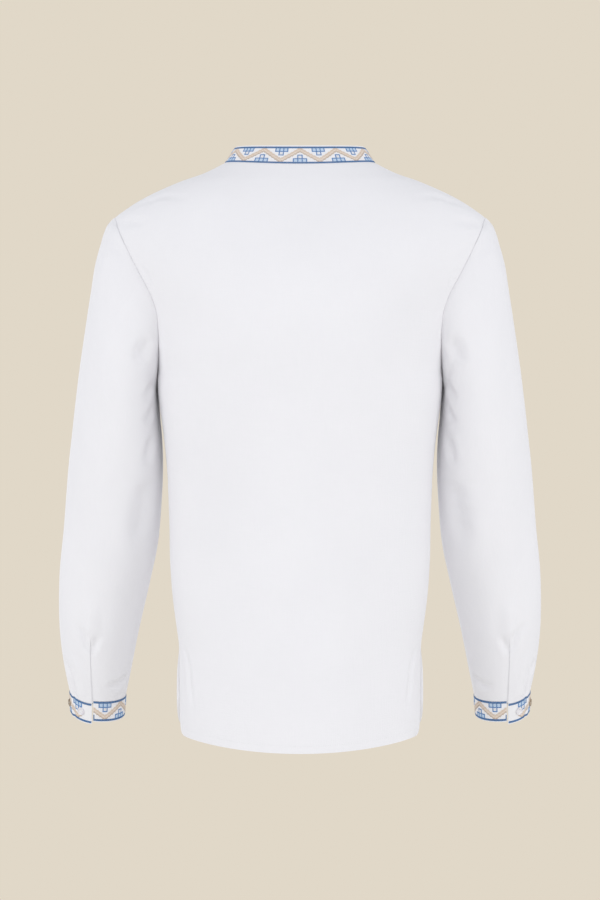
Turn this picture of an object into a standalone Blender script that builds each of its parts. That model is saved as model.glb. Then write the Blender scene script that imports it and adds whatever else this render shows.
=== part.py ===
"""A long-sleeved linen shirt with a stand collar, filled out as if it were worn.

The model is in metres with +Z up. The wearer faces -Y and the wearer's left arm is on +X. The origin is
the middle of the neck opening, level with the collar seam at the side of the neck.

Every piece of cloth is a wall between two grids of points. The outer grid follows the garment's surface
and the inner one lies one wall's thickness inside it. Pieces that are sewn together share the points of
their seam, and each is pulled back from it by half of the seam's gap.
"""

import math

import bmesh
import bpy
import numpy as np

# Driving dimensions
WALL = 0.0012
SEAM_GAP = 0.0004
HEM_HEIGHT = -0.7395
HEM_DROP_BACK = 0.0145
HEM_DROP_FRONT = 0.0075
HEM_CORNER = 0.036
FRONT_SHORTER = 0.007
UNDERARM_HEIGHT = -0.280
UNDERARM_CLEARANCE = 0.0010
UNDERARM_DROP_BACK = 0.003
UNDERARM_DROP_FRONT = 0.006
PLACKET_WIDTH = 0.030
PLACKET_BOTTOM = -0.330
PLACKET_UNDER_LAP = 0.006
OVER_BAND_LIFT = 0.0006
BAND_TOP_GAP = 0.030
BAND_BOTTOM_GAP = 0.001
CUFF_HEIGHT = 0.029
CUFF_TAPER = 0.045
SLEEVE_SLIT_SPREAD = 0.0016
# how far the cloth turns round the arm by the cuff, in radians, and how late along the sleeve it does so
SLEEVE_TWIST = 0.157
SLEEVE_TWIST_POWER = 6
BUTTON_RADIUS = 0.0052
BUTTON_HEIGHT = 0.0022
BUTTON_STANDOFF = 0.0005
FRONT_BUTTON_HEIGHTS = (-0.090, -0.170, -0.250)

# How finely the pieces are divided
BODY_ROWS = 15
ARMHOLE_ROWS = 12
SHOULDER_ROWS = 7
SLEEVE_RINGS = 25
SLIT_RINGS = 3
BUTTON_SIDE_COLUMNS = 5
CORNER_ROWS = 2
# how far up the rows of the corner reach, as a share of the corner itself
CORNER_REACH = 1.1
CORNER_COLUMNS = (0.86, 0.91, 0.955, 0.985, 1.0)
PLAIN_COLUMNS = 8
COLLAR_ROWS = 2
COLLAR_LAP_COLUMNS = 4
COLLAR_LAP_FADE = 6
PLACKET_COLUMNS = 4
BUTTON_STEPS = 14
SHARP_EDGE = math.radians(50)
# steps along a table and over the front that give a direction on the surface
TABLE_STEP = 0.02
SURFACE_STEP = 0.01
# a place just inside the end of a band, so that it falls in the last cell
LAST_CELL = 0.999

# Torso below the underarm: height, half width of the back and front, how far a slit edge stands off the
# seam line, and the depth of the back and front at their middles
BODY = (
    # height, back_width, front_width, slit_reach, back_depth, front_depth
    (-0.7395, 0.1552, 0.1588, 0.0040, 0.122, -0.128),
    (-0.700, 0.1558, 0.1602, 0.0030, 0.121, -0.127),
    (-0.660, 0.1565, 0.1598, 0.0014, 0.120, -0.126),
    (-0.624, 0.1574, 0.1574, 0.0000, 0.119, -0.125),
    (-0.603, 0.1603, 0.1603, 0.0000, 0.118, -0.123),
    (-0.560, 0.1658, 0.1658, 0.0000, 0.116, -0.120),
    (-0.516, 0.1688, 0.1688, 0.0000, 0.114, -0.117),
    (-0.464, 0.1697, 0.1697, 0.0000, 0.113, -0.116),
    (-0.416, 0.1715, 0.1715, 0.0000, 0.114, -0.118),
    (-0.368, 0.1755, 0.1755, 0.0000, 0.117, -0.123),
    (-0.330, 0.1805, 0.1805, 0.0000, 0.121, -0.129),
    (-0.300, 0.1842, 0.1842, 0.0000, 0.124, -0.134),
    (-0.280, 0.1855, 0.1855, 0.0000, 0.126, -0.137),
)

# Armhole seam from the underarm to the shoulder point, with the middle of the back and front on the same
# row and the angle that the row's arc spans on each side of its middle
ARMHOLE = (
    # share, across, height, reach, back_depth, back_height, front_depth, front_height, spread
    (0.000, 0.1855, -0.2800, 0.000, 0.1260, -0.2830, -0.1370, -0.2860, 90),
    (0.076, 0.1835, -0.2680, 0.017, 0.1280, -0.2660, -0.1385, -0.2700, 82),
    (0.180, 0.1820, -0.2470, 0.034, 0.1305, -0.2440, -0.1390, -0.2500, 74),
    (0.300, 0.1820, -0.2200, 0.046, 0.1315, -0.2170, -0.1375, -0.2260, 68),
    (0.405, 0.1845, -0.1950, 0.052, 0.1315, -0.1930, -0.1335, -0.2040, 64),
    (0.494, 0.1915, -0.1746, 0.054, 0.1300, -0.1720, -0.1280, -0.1860, 62),
    (0.610, 0.2050, -0.1490, 0.053, 0.1265, -0.1470, -0.1195, -0.1650, 60),
    (0.750, 0.2205, -0.1186, 0.046, 0.1190, -0.1170, -0.1085, -0.1410, 62),
    (0.890, 0.2340, -0.0890, 0.030, 0.1085, -0.0860, -0.0965, -0.1170, 72),
    (1.000, 0.2415, -0.0705, 0.000, 0.1000, -0.0660, -0.0880, -0.1000, 90),
)

# Shoulder seam from the shoulder point to the side of the neck, with the middles of the back and front
SHOULDER = (
    # share, across, height, back_depth, back_height, front_depth, front_height
    (0.0, 0.2415, -0.0705, 0.1000, -0.0660, -0.0880, -0.1000),
    (0.2, 0.2135, -0.0512, 0.0950, -0.0540, -0.0830, -0.0915),
    (0.4, 0.1845, -0.0368, 0.0890, -0.0430, -0.0780, -0.0830),
    (0.6, 0.1552, -0.0246, 0.0820, -0.0310, -0.0725, -0.0755),
    (0.8, 0.1255, -0.0143, 0.0745, -0.0198, -0.0670, -0.0675),
    (1.0, 0.0975, -0.0005, 0.0660, -0.0082, -0.0620, -0.0600),
)

# Collar from its seam to its top edge: half width, and depth and height at the back, side and front
COLLAR = (
    # share, across, back_depth, front_depth, back_height, side_height, front_height
    (0.0, 0.0975, 0.0660, -0.0620, -0.0082, -0.0005, -0.0600),
    (0.5, 0.0908, 0.0587, -0.0570, 0.0044, 0.0098, -0.0482),
    (1.0, 0.0838, 0.0520, -0.0525, 0.0170, 0.0203, -0.0366),
)

# Sleeve from the armhole to the cuff: its outer and inner contours seen from behind, its half depth, how
# far forward its middle hangs, and how much of the armhole's own shape is left
SLEEVE = (
    # share, outer_across, outer_height, inner_across, inner_height, half_depth, forward, armhole_shape
    (0.00, 0.2415, -0.0705, 0.1855, -0.2800, 0.0550, 0.000, 1.00),
    (0.04, 0.2524, -0.0844, 0.1864, -0.2875, 0.0560, 0.000, 0.86),
    (0.08, 0.2592, -0.1060, 0.1870, -0.2940, 0.0570, 0.000, 0.70),
    (0.14, 0.2665, -0.1330, 0.1866, -0.3020, 0.0585, 0.001, 0.48),
    (0.22, 0.2732, -0.1778, 0.1855, -0.3160, 0.0605, 0.003, 0.24),
    (0.30, 0.2806, -0.2287, 0.1839, -0.3339, 0.0620, 0.007, 0.09),
    (0.40, 0.2889, -0.2846, 0.1807, -0.3640, 0.0625, 0.014, 0.02),
    (0.50, 0.2964, -0.3398, 0.1797, -0.3982, 0.0605, 0.022, 0.00),
    (0.60, 0.3039, -0.4002, 0.1816, -0.4386, 0.0580, 0.031, 0.00),
    (0.70, 0.3101, -0.4712, 0.1868, -0.4945, 0.0555, 0.041, 0.00),
    (0.80, 0.3174, -0.5426, 0.1980, -0.5467, 0.0515, 0.052, 0.00),
    (0.90, 0.3174, -0.6200, 0.2151, -0.6190, 0.0460, 0.067, 0.00),
    (0.96, 0.3120, -0.6640, 0.2250, -0.6670, 0.0410, 0.077, 0.00),
    (1.00, 0.3065, -0.6922, 0.2319, -0.6990, 0.0375, 0.084, 0.00),
)

CUFF_BUTTONS = (
    # number, column of the cuff, finish
    (1, 1.6, "pearl_button"),
    (2, 4.7, "horn_button"),
)

# The sleeve's column that holds the slit, counted from the underarm up the back
SLIT_COLUMN = 7
# How far the cuff's two ends stand off the round line of the cuff, and how much lower the button end hangs
BUTTON_END_LIFT = 0.0012
BUTTON_END_DROP = 0.0035

# Largest folds of a sleeve: where they start and end along it and around it, their half width and depth
SLEEVE_FOLDS = (
    # along_start, around_start, along_end, around_end, half_width, depth
    (0.36, 0.06, 0.46, 0.34, 0.016, 0.0030),
    (0.44, 0.00, 0.52, 0.34, 0.015, 0.0035),
    (0.52, 0.02, 0.60, 0.40, 0.017, 0.0040),
    (0.60, 0.00, 0.72, 0.36, 0.018, 0.0035),
    (0.88, 0.88, 1.00, 0.82, 0.014, 0.0035),
    (0.90, 0.30, 1.00, 0.36, 0.013, 0.0030),
)

FINISHES = {
    # name: colour, roughness
    "white_linen": ((0.86, 0.86, 0.87), 0.85),
    "embroidered_band": ((0.80, 0.80, 0.80), 0.80),
    "horn_button": ((0.30, 0.24, 0.17), 0.40),
    "pearl_button": ((0.82, 0.81, 0.83), 0.30),
}


def remove_everything():
    for thing in list(bpy.data.objects):
        bpy.data.objects.remove(thing, do_unlink=True)


def plain_material(name):
    colour, roughness = FINISHES[name]
    material = bpy.data.materials.new(name)
    material.use_nodes = True
    shader = material.node_tree.nodes["Principled BSDF"]
    shader.inputs["Base Color"].default_value = (*colour, 1.0)
    shader.inputs["Roughness"].default_value = roughness
    shader.inputs["Metallic"].default_value = 0.0
    return material


def read_table(table, share):
    """All columns of a table after its first, on a smooth curve through its rows at one share."""
    rows = np.array(table, float)
    keys, values = rows[:, 0], rows[:, 1:]
    share = min(max(share, keys[0]), keys[-1])
    slopes = np.gradient(values, keys, axis=0)
    low = min(int(np.searchsorted(keys, share, side="right")) - 1, len(keys) - 2)
    span = keys[low + 1] - keys[low]
    t = (share - keys[low]) / span
    start = (1 + 2 * t) * (1 - t) ** 2 * values[low] + t * (1 - t) ** 2 * span * slopes[low]
    end = t * t * (3 - 2 * t) * values[low + 1] + t * t * (t - 1) * span * slopes[low + 1]
    return start + end


def torso_row(side, level):
    """Edge point, middle point and half angle of one row. Levels 0 to 1 run from the hem to the underarm,
    1 to 2 up the armhole and 2 to 3 along the shoulder seam. side is 1 for the back, -1 for the front."""
    back = side > 0
    if level <= 1:
        height = HEM_HEIGHT + (UNDERARM_HEIGHT - HEM_HEIGHT) * level
        back_width, front_width, reach, back_depth, front_depth = read_table(BODY, height)
        drop = (HEM_DROP_BACK if back else HEM_DROP_FRONT) * (1 - level)
        drop += (UNDERARM_DROP_BACK if back else UNDERARM_DROP_FRONT) * level
        edge = (back_width if back else front_width, side * reach, height)
        middle = (0.0, back_depth if back else front_depth, height - drop)
        spread = 90
    elif level <= 2:
        across, height, reach, back_depth, back_height, front_depth, front_height, spread = read_table(
            ARMHOLE, level - 1)
        edge = (across, side * reach, height)
        middle = (0.0, back_depth, back_height) if back else (0.0, front_depth, front_height)
    else:
        across, height, back_depth, back_height, front_depth, front_height = read_table(SHOULDER, level - 2)
        edge = (across, 0.0, height)
        middle = (0.0, back_depth, back_height) if back else (0.0, front_depth, front_height)
        spread = 90
    return np.array(edge), np.array(middle), math.radians(min(spread, 90))


def torso_point(side, level, around):
    """A point of the torso's outer surface. around is 0 at the middle and 1 or -1 at an edge."""
    edge, middle, spread = torso_row(side, level)
    angle = around * spread
    bow = (math.cos(angle) - math.cos(spread)) / (1 - math.cos(spread))
    return np.array((
        edge[0] * math.sin(angle) / math.sin(spread),
        edge[1] + (middle[1] - edge[1]) * bow,
        edge[2] + (middle[2] - edge[2]) * math.cos(around * math.pi / 2) ** 2,
    ))


def around_at(side, level, across):
    """Where on a row the surface lies this far across from the middle."""
    edge, _, spread = torso_row(side, level)
    return math.asin(across * math.sin(spread) / edge[0]) / spread


def corner_level(side, around):
    """The level at which a column of the panel starts, so that the hem's corners are round."""
    depth = abs(torso_row(side, 0)[1][1])
    from_edge = (1 - abs(around)) * depth * math.pi / 2
    inside = max(HEM_CORNER - from_edge, 0.0)
    rise = HEM_CORNER - math.sqrt(HEM_CORNER ** 2 - inside ** 2)
    if side < 0:
        rise += FRONT_SHORTER
    return rise / (UNDERARM_HEIGHT - HEM_HEIGHT)


def panel_levels():
    corner = (HEM_CORNER + FRONT_SHORTER) * CORNER_REACH / (UNDERARM_HEIGHT - HEM_HEIGHT)
    levels = list(np.linspace(0, corner, CORNER_ROWS + 1))
    levels += list(np.linspace(corner, 1, BODY_ROWS - CORNER_ROWS + 1)[1:])
    levels += list(1 + np.linspace(0, 1, ARMHOLE_ROWS + 1)[1:])
    levels += list(2 + np.linspace(0, 1, SHOULDER_ROWS + 1)[1:])
    return levels, corner


def half_columns():
    return list(np.linspace(0, CORNER_COLUMNS[0], PLAIN_COLUMNS + 1)[:-1]) + list(CORNER_COLUMNS)


def panel_grid(side, first_across=0.0):
    """The outer points of the back or the front, rows by columns, from the wearer's right to the left.
    With first_across, two columns run straight up the panel that far from its middle."""
    levels, corner = panel_levels()
    shares = half_columns()
    rows = []
    for level in levels:
        half = []
        start = around_at(side, level, first_across)
        for share in shares:
            around = start + (1 - start) * share
            lowest = corner_level(side, around)
            fitted = lowest + (corner - lowest) * level / corner if level < corner else level
            half.append(torso_point(side, fitted, around))
        mirrored = [point * (-1, 1, 1) for point in reversed(half)]
        rows.append(mirrored[:-1] + half if first_across == 0 else mirrored + half)
    return np.array(rows)


def grid_normals(grid, outward):
    """Unit normals of a grid of points, on the side where outward(point) points."""
    down = np.gradient(grid, axis=0)
    over = np.gradient(grid, axis=1)
    normals = np.cross(down, over)
    normals /= np.linalg.norm(normals, axis=2, keepdims=True)
    facing = np.array([[np.dot(n, outward(p)) for n, p in zip(line, points)]
                       for line, points in zip(normals, grid)])
    if facing.sum() < 0:
        normals = -normals
    return normals


def ring_normals(grid, outward):
    """As grid_normals, for a grid whose last column meets its first."""
    down = np.gradient(grid, axis=0)
    loop = grid[:, :-1]
    over = np.roll(loop, -1, axis=1) - np.roll(loop, 1, axis=1)
    over = np.concatenate([over, over[:, :1]], axis=1)
    normals = np.cross(down, over)
    normals /= np.linalg.norm(normals, axis=2, keepdims=True)
    if sum(np.dot(normals[-1, c], outward(grid[-1, c])) for c in range(grid.shape[1])) < 0:
        normals = -normals
    return normals


def unit(vector):
    return vector / np.linalg.norm(vector)


def mitre(normal_a, into_a, normal_b, into_b):
    """The two normals at a seam: each its own in a valley, and one shared by both over a ridge."""
    if np.dot(normal_a, into_b) + np.dot(normal_b, into_a) < 0:
        shared = unit(normal_a + normal_b)
        return shared, shared
    return normal_a, normal_b


def wall(name, outer, inner, material, keep=None, welded=None):
    """A closed wall of cloth between two grids. keep(row, column) says which cells there are, and
    welded(row) on which rows the last column is the first one again."""
    rows, columns = outer.shape[:2]
    count = rows * columns

    def corner(row, column):
        if welded is not None and column == columns - 1 and welded(row):
            return row * columns
        return row * columns + column

    flat = outer.reshape(-1, 3)
    faces, sides = [], set()
    for row in range(rows - 1):
        for column in range(columns - 1):
            if keep is not None and not keep(row, column):
                continue
            a, b = corner(row, column), corner(row, column + 1)
            c, d = corner(row + 1, column + 1), corner(row + 1, column)
            if np.linalg.norm(flat[a] - flat[c]) <= np.linalg.norm(flat[b] - flat[d]):
                halves = ((a, b, c), (a, c, d))
            else:
                halves = ((a, b, d), (b, c, d))
            for half in halves:
                faces.append(half)
                faces.append(tuple(index + count for index in reversed(half)))
            sides.update(((a, b), (b, c), (c, d), (d, a)))
    for a, b in sorted(sides):
        if (b, a) not in sides:
            faces.append((b, a, a + count))
            faces.append((b, a + count, b + count))
    points = np.concatenate([flat, inner.reshape(-1, 3)])
    mesh = bpy.data.meshes.new(name)
    mesh.from_pydata([tuple(point) for point in points], [], faces)
    work = bmesh.new()
    work.from_mesh(mesh)
    bmesh.ops.delete(work, geom=[vert for vert in work.verts if not vert.link_faces], context="VERTS")
    bmesh.ops.recalc_face_normals(work, faces=work.faces)
    work.to_mesh(mesh)
    work.free()
    return add_object(name, mesh, material)


def add_object(name, mesh, material):
    mesh.shade_smooth()
    mesh.set_sharp_from_angle(angle=SHARP_EDGE)
    mesh.materials.append(material)
    thing = bpy.data.objects.new(name, mesh)
    bpy.context.scene.collection.objects.link(thing)
    return thing


def mirror_grid(grid):
    """The same piece for the wearer's right."""
    return (grid * (-1, 1, 1))[:, ::-1]


def sleeve_ring(share):
    """One ring of the wearer's left sleeve, from the underarm up the back, over the outer side and down
    the front to the underarm again."""
    outer_x, outer_z, inner_x, inner_z, half_depth, forward, armhole_shape = read_table(SLEEVE, share)
    outer = np.array((outer_x, -forward, outer_z))
    inner = np.array((inner_x, -forward, inner_z))
    half = (outer - inner) / 2
    middle = (outer + inner) / 2
    ahead, behind = (read_table(SLEEVE, share + step) for step in (TABLE_STEP, -TABLE_STEP))
    along = np.array(((ahead[0] + ahead[2] - behind[0] - behind[2]) / 2,
                      behind[5] - ahead[5],
                      (ahead[1] + ahead[3] - behind[1] - behind[3]) / 2))
    depth = unit(np.cross(unit(half), unit(along)))
    depth = depth * math.copysign(half_depth, depth[1])
    points = []
    for index in range(2 * ARMHOLE_ROWS + 1):
        angle = math.pi * (1 - index / ARMHOLE_ROWS) + SLEEVE_TWIST * share ** SLEEVE_TWIST_POWER
        points.append(middle + half * math.cos(angle) + depth * math.sin(angle))
    return np.array(points), armhole_shape


def armhole_loop():
    """The armhole seam's points in the order of a sleeve's ring."""
    back = [torso_point(1, 1 + row / ARMHOLE_ROWS, 1.0) for row in range(ARMHOLE_ROWS + 1)]
    front = [torso_point(-1, 1 + row / ARMHOLE_ROWS, 1.0) for row in range(ARMHOLE_ROWS + 1)]
    return np.array(back + front[::-1][1:])


def fold_depth(along, around, girth, length):
    """How far the largest folds press a sleeve in at one place. around counts once round the sleeve from
    the underarm, up the back."""
    total = 0.0
    for along_start, around_start, along_end, around_end, half_width, depth in SLEEVE_FOLDS:
        start = np.array((along_start * length, around_start * girth))
        run = np.array((along_end * length, around_end * girth)) - start
        best = 0.0
        for turn in (-1, 0, 1):
            place = np.array((along * length, (around + turn) * girth)) - start
            t = min(max(np.dot(place, run) / np.dot(run, run), 0.0), 1.0)
            distance = np.linalg.norm(place - run * t)
            fade = math.sin(math.pi * min(max(t, 0.08), 0.92))
            best = max(best, fade * math.exp(-(distance / half_width) ** 2))
        total += depth * best
    return total


def sleeve_grid():
    """The outer points of the wearer's left sleeve. Its columns start and end at the slit."""
    shares = np.linspace(0, 1, SLEEVE_RINGS + 1)
    first, _ = sleeve_ring(0.0)
    offset = armhole_loop() - first
    rings = []
    for share in shares:
        ring, armhole_shape = sleeve_ring(share)
        rings.append(ring + offset * armhole_shape)
    grid = np.array(rings)
    normals = ring_normals(grid, lambda point: point - grid[-1].mean(axis=0))
    middles = grid[:, :-1].mean(axis=1)
    length = np.linalg.norm(np.diff(middles, axis=0), axis=1).sum()
    for row, share in enumerate(shares[1:-1], start=1):
        loop = grid[row]
        girth = np.linalg.norm(np.diff(loop, axis=0), axis=1).sum()
        for column in range(grid.shape[1]):
            around = column / (grid.shape[1] - 1)
            grid[row, column] -= normals[row, column] * fold_depth(share, around, girth, length)
    turned = np.concatenate([grid[:, SLIT_COLUMN:-1], grid[:, :SLIT_COLUMN + 1]], axis=1)
    return turned


def pull_back(grid, row, neighbour):
    """Moves a seam row towards the next row by half of the seam's gap."""
    step = grid[neighbour] - grid[row]
    step /= np.linalg.norm(step, axis=1, keepdims=True)
    grid[row] = grid[row] + step * SEAM_GAP / 2


def collar_point(share, around, side):
    across, back_depth, front_depth, back_height, side_height, front_height = read_table(COLLAR, share)
    depth, height = (back_depth, back_height) if side > 0 else (front_depth, front_height)
    angle = around * math.pi / 2
    return np.array((
        across * math.sin(angle),
        depth * math.cos(angle),
        side_height + (height - side_height) * math.cos(angle) ** 2,
    ))


def collar_grid(back_arounds, front_arounds):
    """The collar's outer points, seam row first. It starts under its own end at the middle of the front,
    on the wearer's left of the middle, runs round by the wearer's right, back and left, and ends over its
    start, on the wearer's right of the middle."""
    lap = WALL + SEAM_GAP
    lap_half = PLACKET_WIDTH / 2
    rows = []
    for row in range(COLLAR_ROWS + 1):
        share = row / COLLAR_ROWS
        across = read_table(COLLAR, share)[0]
        lap_around = math.asin(lap_half / across) / (math.pi / 2)
        line = [(-1, around) for around in np.linspace(lap_around, -lap_around, COLLAR_LAP_COLUMNS)]
        line += [(-1, -around) for around in front_arounds[1:-1]]
        line += [(1, around) for around in back_arounds]
        line += [(-1, around) for around in front_arounds[::-1][1:-1]]
        line += [(-1, around) for around in np.linspace(lap_around, -lap_around, COLLAR_LAP_COLUMNS)]
        points = np.array([collar_point(share, around, side) for side, around in line])
        count = len(points)
        for index in range(count):
            inside = max(1 - index / COLLAR_LAP_FADE, 0)
            outside = max(1 - (count - 1 - index) / COLLAR_LAP_FADE, 0)
            shift = (outside - inside) * lap / 2
            outward = unit(points[index] * (1, 1, 0))
            points[index] = points[index] + outward * shift
        rows.append(points)
    return np.array(rows)


def lathe_button(name, centre, normal, material):
    """A round sewn-on button with a rim, its flat underside at centre."""
    profile = (
        # radius, height, as shares of the button's own
        (0.00, 0.62),
        (0.60, 0.62),
        (0.76, 1.00),
        (0.93, 0.92),
        (1.00, 0.50),
        (0.86, 0.00),
        (0.00, 0.00),
    )
    work = bmesh.new()
    line = [work.verts.new((radius * BUTTON_RADIUS, 0, height * BUTTON_HEIGHT)) for radius, height in profile]
    edges = [work.edges.new(pair) for pair in zip(line, line[1:])]
    bmesh.ops.spin(work, geom=line + edges, cent=(0, 0, 0), axis=(0, 0, 1), angle=2 * math.pi,
                   steps=BUTTON_STEPS, use_merge=True)
    bmesh.ops.remove_doubles(work, verts=work.verts, dist=1e-6)
    bmesh.ops.recalc_face_normals(work, faces=work.faces)
    mesh = bpy.data.meshes.new(name)
    work.to_mesh(mesh)
    work.free()
    thing = add_object(name, mesh, material)
    up = unit(np.array(normal, float))
    side = unit(np.cross((0, 0, 1), up))
    over = np.cross(up, side)
    for vert in mesh.vertices:
        local = np.array(vert.co)
        vert.co = centre + side * local[0] + over * local[1] + up * local[2]
    return thing


def cell_place(grid, row, column):
    """A point on a grid's surface and the unit normal of its cell, for fractional row and column."""
    r, c = min(int(row), grid.shape[0] - 2), min(int(column), grid.shape[1] - 2)
    a, b, d, e = grid[r, c], grid[r, c + 1], grid[r + 1, c], grid[r + 1, c + 1]
    t, s = row - r, column - c
    place = (a * (1 - s) + b * s) * (1 - t) + (d * (1 - s) + e * s) * t
    normal = unit(np.cross(e - a, d - b))
    return place, normal


def facing(normal, outward):
    return normal if np.dot(normal, outward) > 0 else -normal


def mitre_edge(panel, panel_normals, column, inner_column, ring_of_row, sleeve, sleeve_normals):
    """Sets the normals that a panel's edge and the sleeve's first ring share along the armhole."""
    for row, at in ring_of_row.items():
        into_panel = unit(panel[row, inner_column] - panel[row, column])
        into_sleeve = unit(sleeve[1, at] - sleeve[0, at])
        own, other = mitre(panel_normals[row, column], into_panel, sleeve_normals[0, at], into_sleeve)
        if own is not other:
            sleeve[0, at] = sleeve[0, at] + own * SEAM_GAP
        panel_normals[row, column] = own
        sleeve_normals[0, at] = other


def level_at(height, side):
    """The level of the row whose middle is at a height."""
    low, high = 0.0, 3.0
    for _ in range(40):
        half = (low + high) / 2
        if torso_row(side, half)[1][2] < height:
            low = half
        else:
            high = half
    return (low + high) / 2


def front_place(level, across):
    """A point of the front's outer surface this far across from its middle, and its unit normal."""
    around = around_at(-1, level, across)
    here = torso_point(-1, level, around)
    over = torso_point(-1, level, around + SURFACE_STEP) - here
    above = torso_point(-1, min(level + SURFACE_STEP, 3.0), around)
    up = above - torso_point(-1, level - SURFACE_STEP, around)
    return here, facing(unit(np.cross(over, up)), np.array((0.0, -1.0, 0.0)))


def make_panels(linen):
    """The back and the front. Returns the wearer's left sleeve's grid and normals, which share the
    armhole with them, and the levels of the rows beside the placket."""
    levels, _ = panel_levels()
    body_end = levels.index(1.0)
    armhole_end = body_end + ARMHOLE_ROWS
    grids = {"back": panel_grid(1), "front": panel_grid(-1, PLACKET_WIDTH / 2)}
    normals = {name: grid_normals(grid, lambda point: point * (1, 1, 0)) for name, grid in grids.items()}
    sleeve = sleeve_grid()
    sleeve_normals = ring_normals(sleeve, lambda point: point - sleeve[-1].mean(axis=0))

    ring = 2 * ARMHOLE_ROWS
    for name, turn in (("back", 1), ("front", -1)):
        grid, own = grids[name], normals[name]
        ring_of_row = {row: (turn * (row - body_end) - SLIT_COLUMN) % ring
                       for row in range(body_end + 1, armhole_end)}
        mitre_edge(grid, own, -1, -2, ring_of_row, sleeve, sleeve_normals)
        for row in range(len(levels)):
            if row not in ring_of_row:
                # the back and front meet smoothly at the side and shoulder seams
                own[row, -1] = unit(own[row, -1] * (1, 0, 1))
            own[row, 0] = own[row, -1] * (-1, 1, 1)
    sleeve_normals[:, -1] = sleeve_normals[:, 0]
    # the body and the sleeve hang side by side from the underarm, so the sleeve starts a little outwards
    sleeve[0, -SLIT_COLUMN - 1, 0] += UNDERARM_CLEARANCE

    for grid in grids.values():
        edges = grid[:, (0, -1)]
        inwards = grid[:, (1, -2)] - edges
        grid[:, (0, -1)] = edges + inwards / np.linalg.norm(inwards, axis=2, keepdims=True) * SEAM_GAP / 2
        pull_back(grid, -1, -2)
    front = grids["front"]
    notch_row = next(row for row, level in enumerate(levels) if torso_row(-1, level)[1][2] > PLACKET_BOTTOM)
    middle_cell = front.shape[1] // 2 - 1
    front[notch_row:, middle_cell, 0] -= SEAM_GAP / 2
    front[notch_row:, middle_cell + 1, 0] += SEAM_GAP / 2

    wall("back", grids["back"], grids["back"] - normals["back"] * WALL, linen)
    wall("front", front, front - normals["front"] * WALL, linen,
         keep=lambda row, column: column != middle_cell or row < notch_row)
    return sleeve, sleeve_normals, levels[notch_row:]


def make_placket(levels, band):
    """The two bands that close the front, one over the other, between the notch's edges."""
    half = PLACKET_WIDTH / 2 - SEAM_GAP
    top = levels[-1] - BAND_TOP_GAP
    bottom = levels[0] + BAND_BOTTOM_GAP
    inside = [level for level in levels if bottom < level < top]
    rows = [bottom] + inside + [top]
    spans = (
        # name, from_across, to_across, lift
        ("placket_over", -half, half, OVER_BAND_LIFT),
        ("placket_under", -PLACKET_WIDTH / 2 - PLACKET_UNDER_LAP, half, -WALL - 2 * SEAM_GAP),
    )
    for name, from_across, to_across, lift in spans:
        acrosses = np.linspace(from_across, to_across, PLACKET_COLUMNS)
        outer, inner = [], []
        for level in rows:
            places = [front_place(level, across) for across in acrosses]
            outer.append([here + out * lift for here, out in places])
            inner.append([here + out * (lift - WALL) for here, out in places])
        wall(name, np.array(outer), np.array(inner), band)


def make_sleeves(sleeve, normals, linen):
    """Both sleeves, open at the slit. Returns the lower end that each cuff is sewn to."""
    along = unit(sleeve[-1].mean(axis=0) - sleeve[-3].mean(axis=0))
    first_open = SLEEVE_RINGS - SLIT_RINGS
    pull_back(sleeve, 0, 1)
    for row in range(first_open, SLEEVE_RINGS + 1):
        share = (row - first_open) / SLIT_RINGS
        over = unit(sleeve[row, 1] - sleeve[row, -2])
        sleeve[row, 0] = sleeve[row, 0] + over * SLEEVE_SLIT_SPREAD * share / 2
        sleeve[row, -1] = sleeve[row, -1] - over * SLEEVE_SLIT_SPREAD * share / 2
        hang_button_side(sleeve[row], normals[row], along, share)
    end, end_normals = sleeve[-1].copy(), normals[-1].copy()
    pull_back(sleeve, -1, -2)
    inner = sleeve - normals * WALL
    for name, shape in (("sleeve_left", lambda grid: grid), ("sleeve_right", mirror_grid)):
        wall(name, shape(sleeve), shape(inner), linen, welded=lambda row: row <= first_open)
    return end, end_normals, along


def hang_button_side(ring, ring_normals_here, along, share):
    """Lowers and lifts the end of a ring that carries the cuff's button end."""
    for column in range(BUTTON_SIDE_COLUMNS):
        fade = share * math.cos(column / BUTTON_SIDE_COLUMNS * math.pi / 2) ** 2
        shift = along * BUTTON_END_DROP + ring_normals_here[column] * BUTTON_END_LIFT
        ring[column] = ring[column] + shift * fade


def make_cuffs(end, end_normals, along, band, finishes):
    middle = end.mean(axis=0)
    rings = []
    for share in (0.0, 0.5, 1.0):
        taper = 1 - CUFF_TAPER * share
        rings.append(middle + (end - middle) * taper + along * CUFF_HEIGHT * share)
    outer = np.array(rings)
    pull_back(outer, 0, 1)
    inner = outer - end_normals * WALL
    for name, shape in (("cuff_left", lambda grid: grid), ("cuff_right", mirror_grid)):
        wall(name, shape(outer), shape(inner), band)
    for number, column, finish in CUFF_BUTTONS:
        place, normal = cell_place(outer, LAST_CELL, column)
        normal = facing(normal, place - middle - along * CUFF_HEIGHT / 2)
        centre = place + normal * BUTTON_STANDOFF
        button = finishes[finish]
        lathe_button(f"button_cuff_left_{number}", centre, normal, button)
        lathe_button(f"button_cuff_right_{number}", centre * (-1, 1, 1), normal * (-1, 1, 1), button)


def make_collar(band, button):
    back_half = half_columns()
    back_arounds = [-share for share in back_half[:0:-1]] + back_half
    start = around_at(-1, 3.0, PLACKET_WIDTH / 2)
    front_arounds = [start + (1 - start) * share for share in back_half]
    outer = collar_grid(back_arounds, front_arounds)
    normals = grid_normals(outer, lambda point: point * (1, 1, 0))
    pull_back(outer, 0, 1)
    pull_back(outer, 0, 1)
    wall("collar", outer, outer - normals * WALL, band)
    place, normal = cell_place(outer, LAST_CELL, outer.shape[1] - 2.5)
    normal = facing(normal, np.array((0.0, -1.0, 0.0)))
    lathe_button("button_collar", place + normal * BUTTON_STANDOFF, normal, button)


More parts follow.
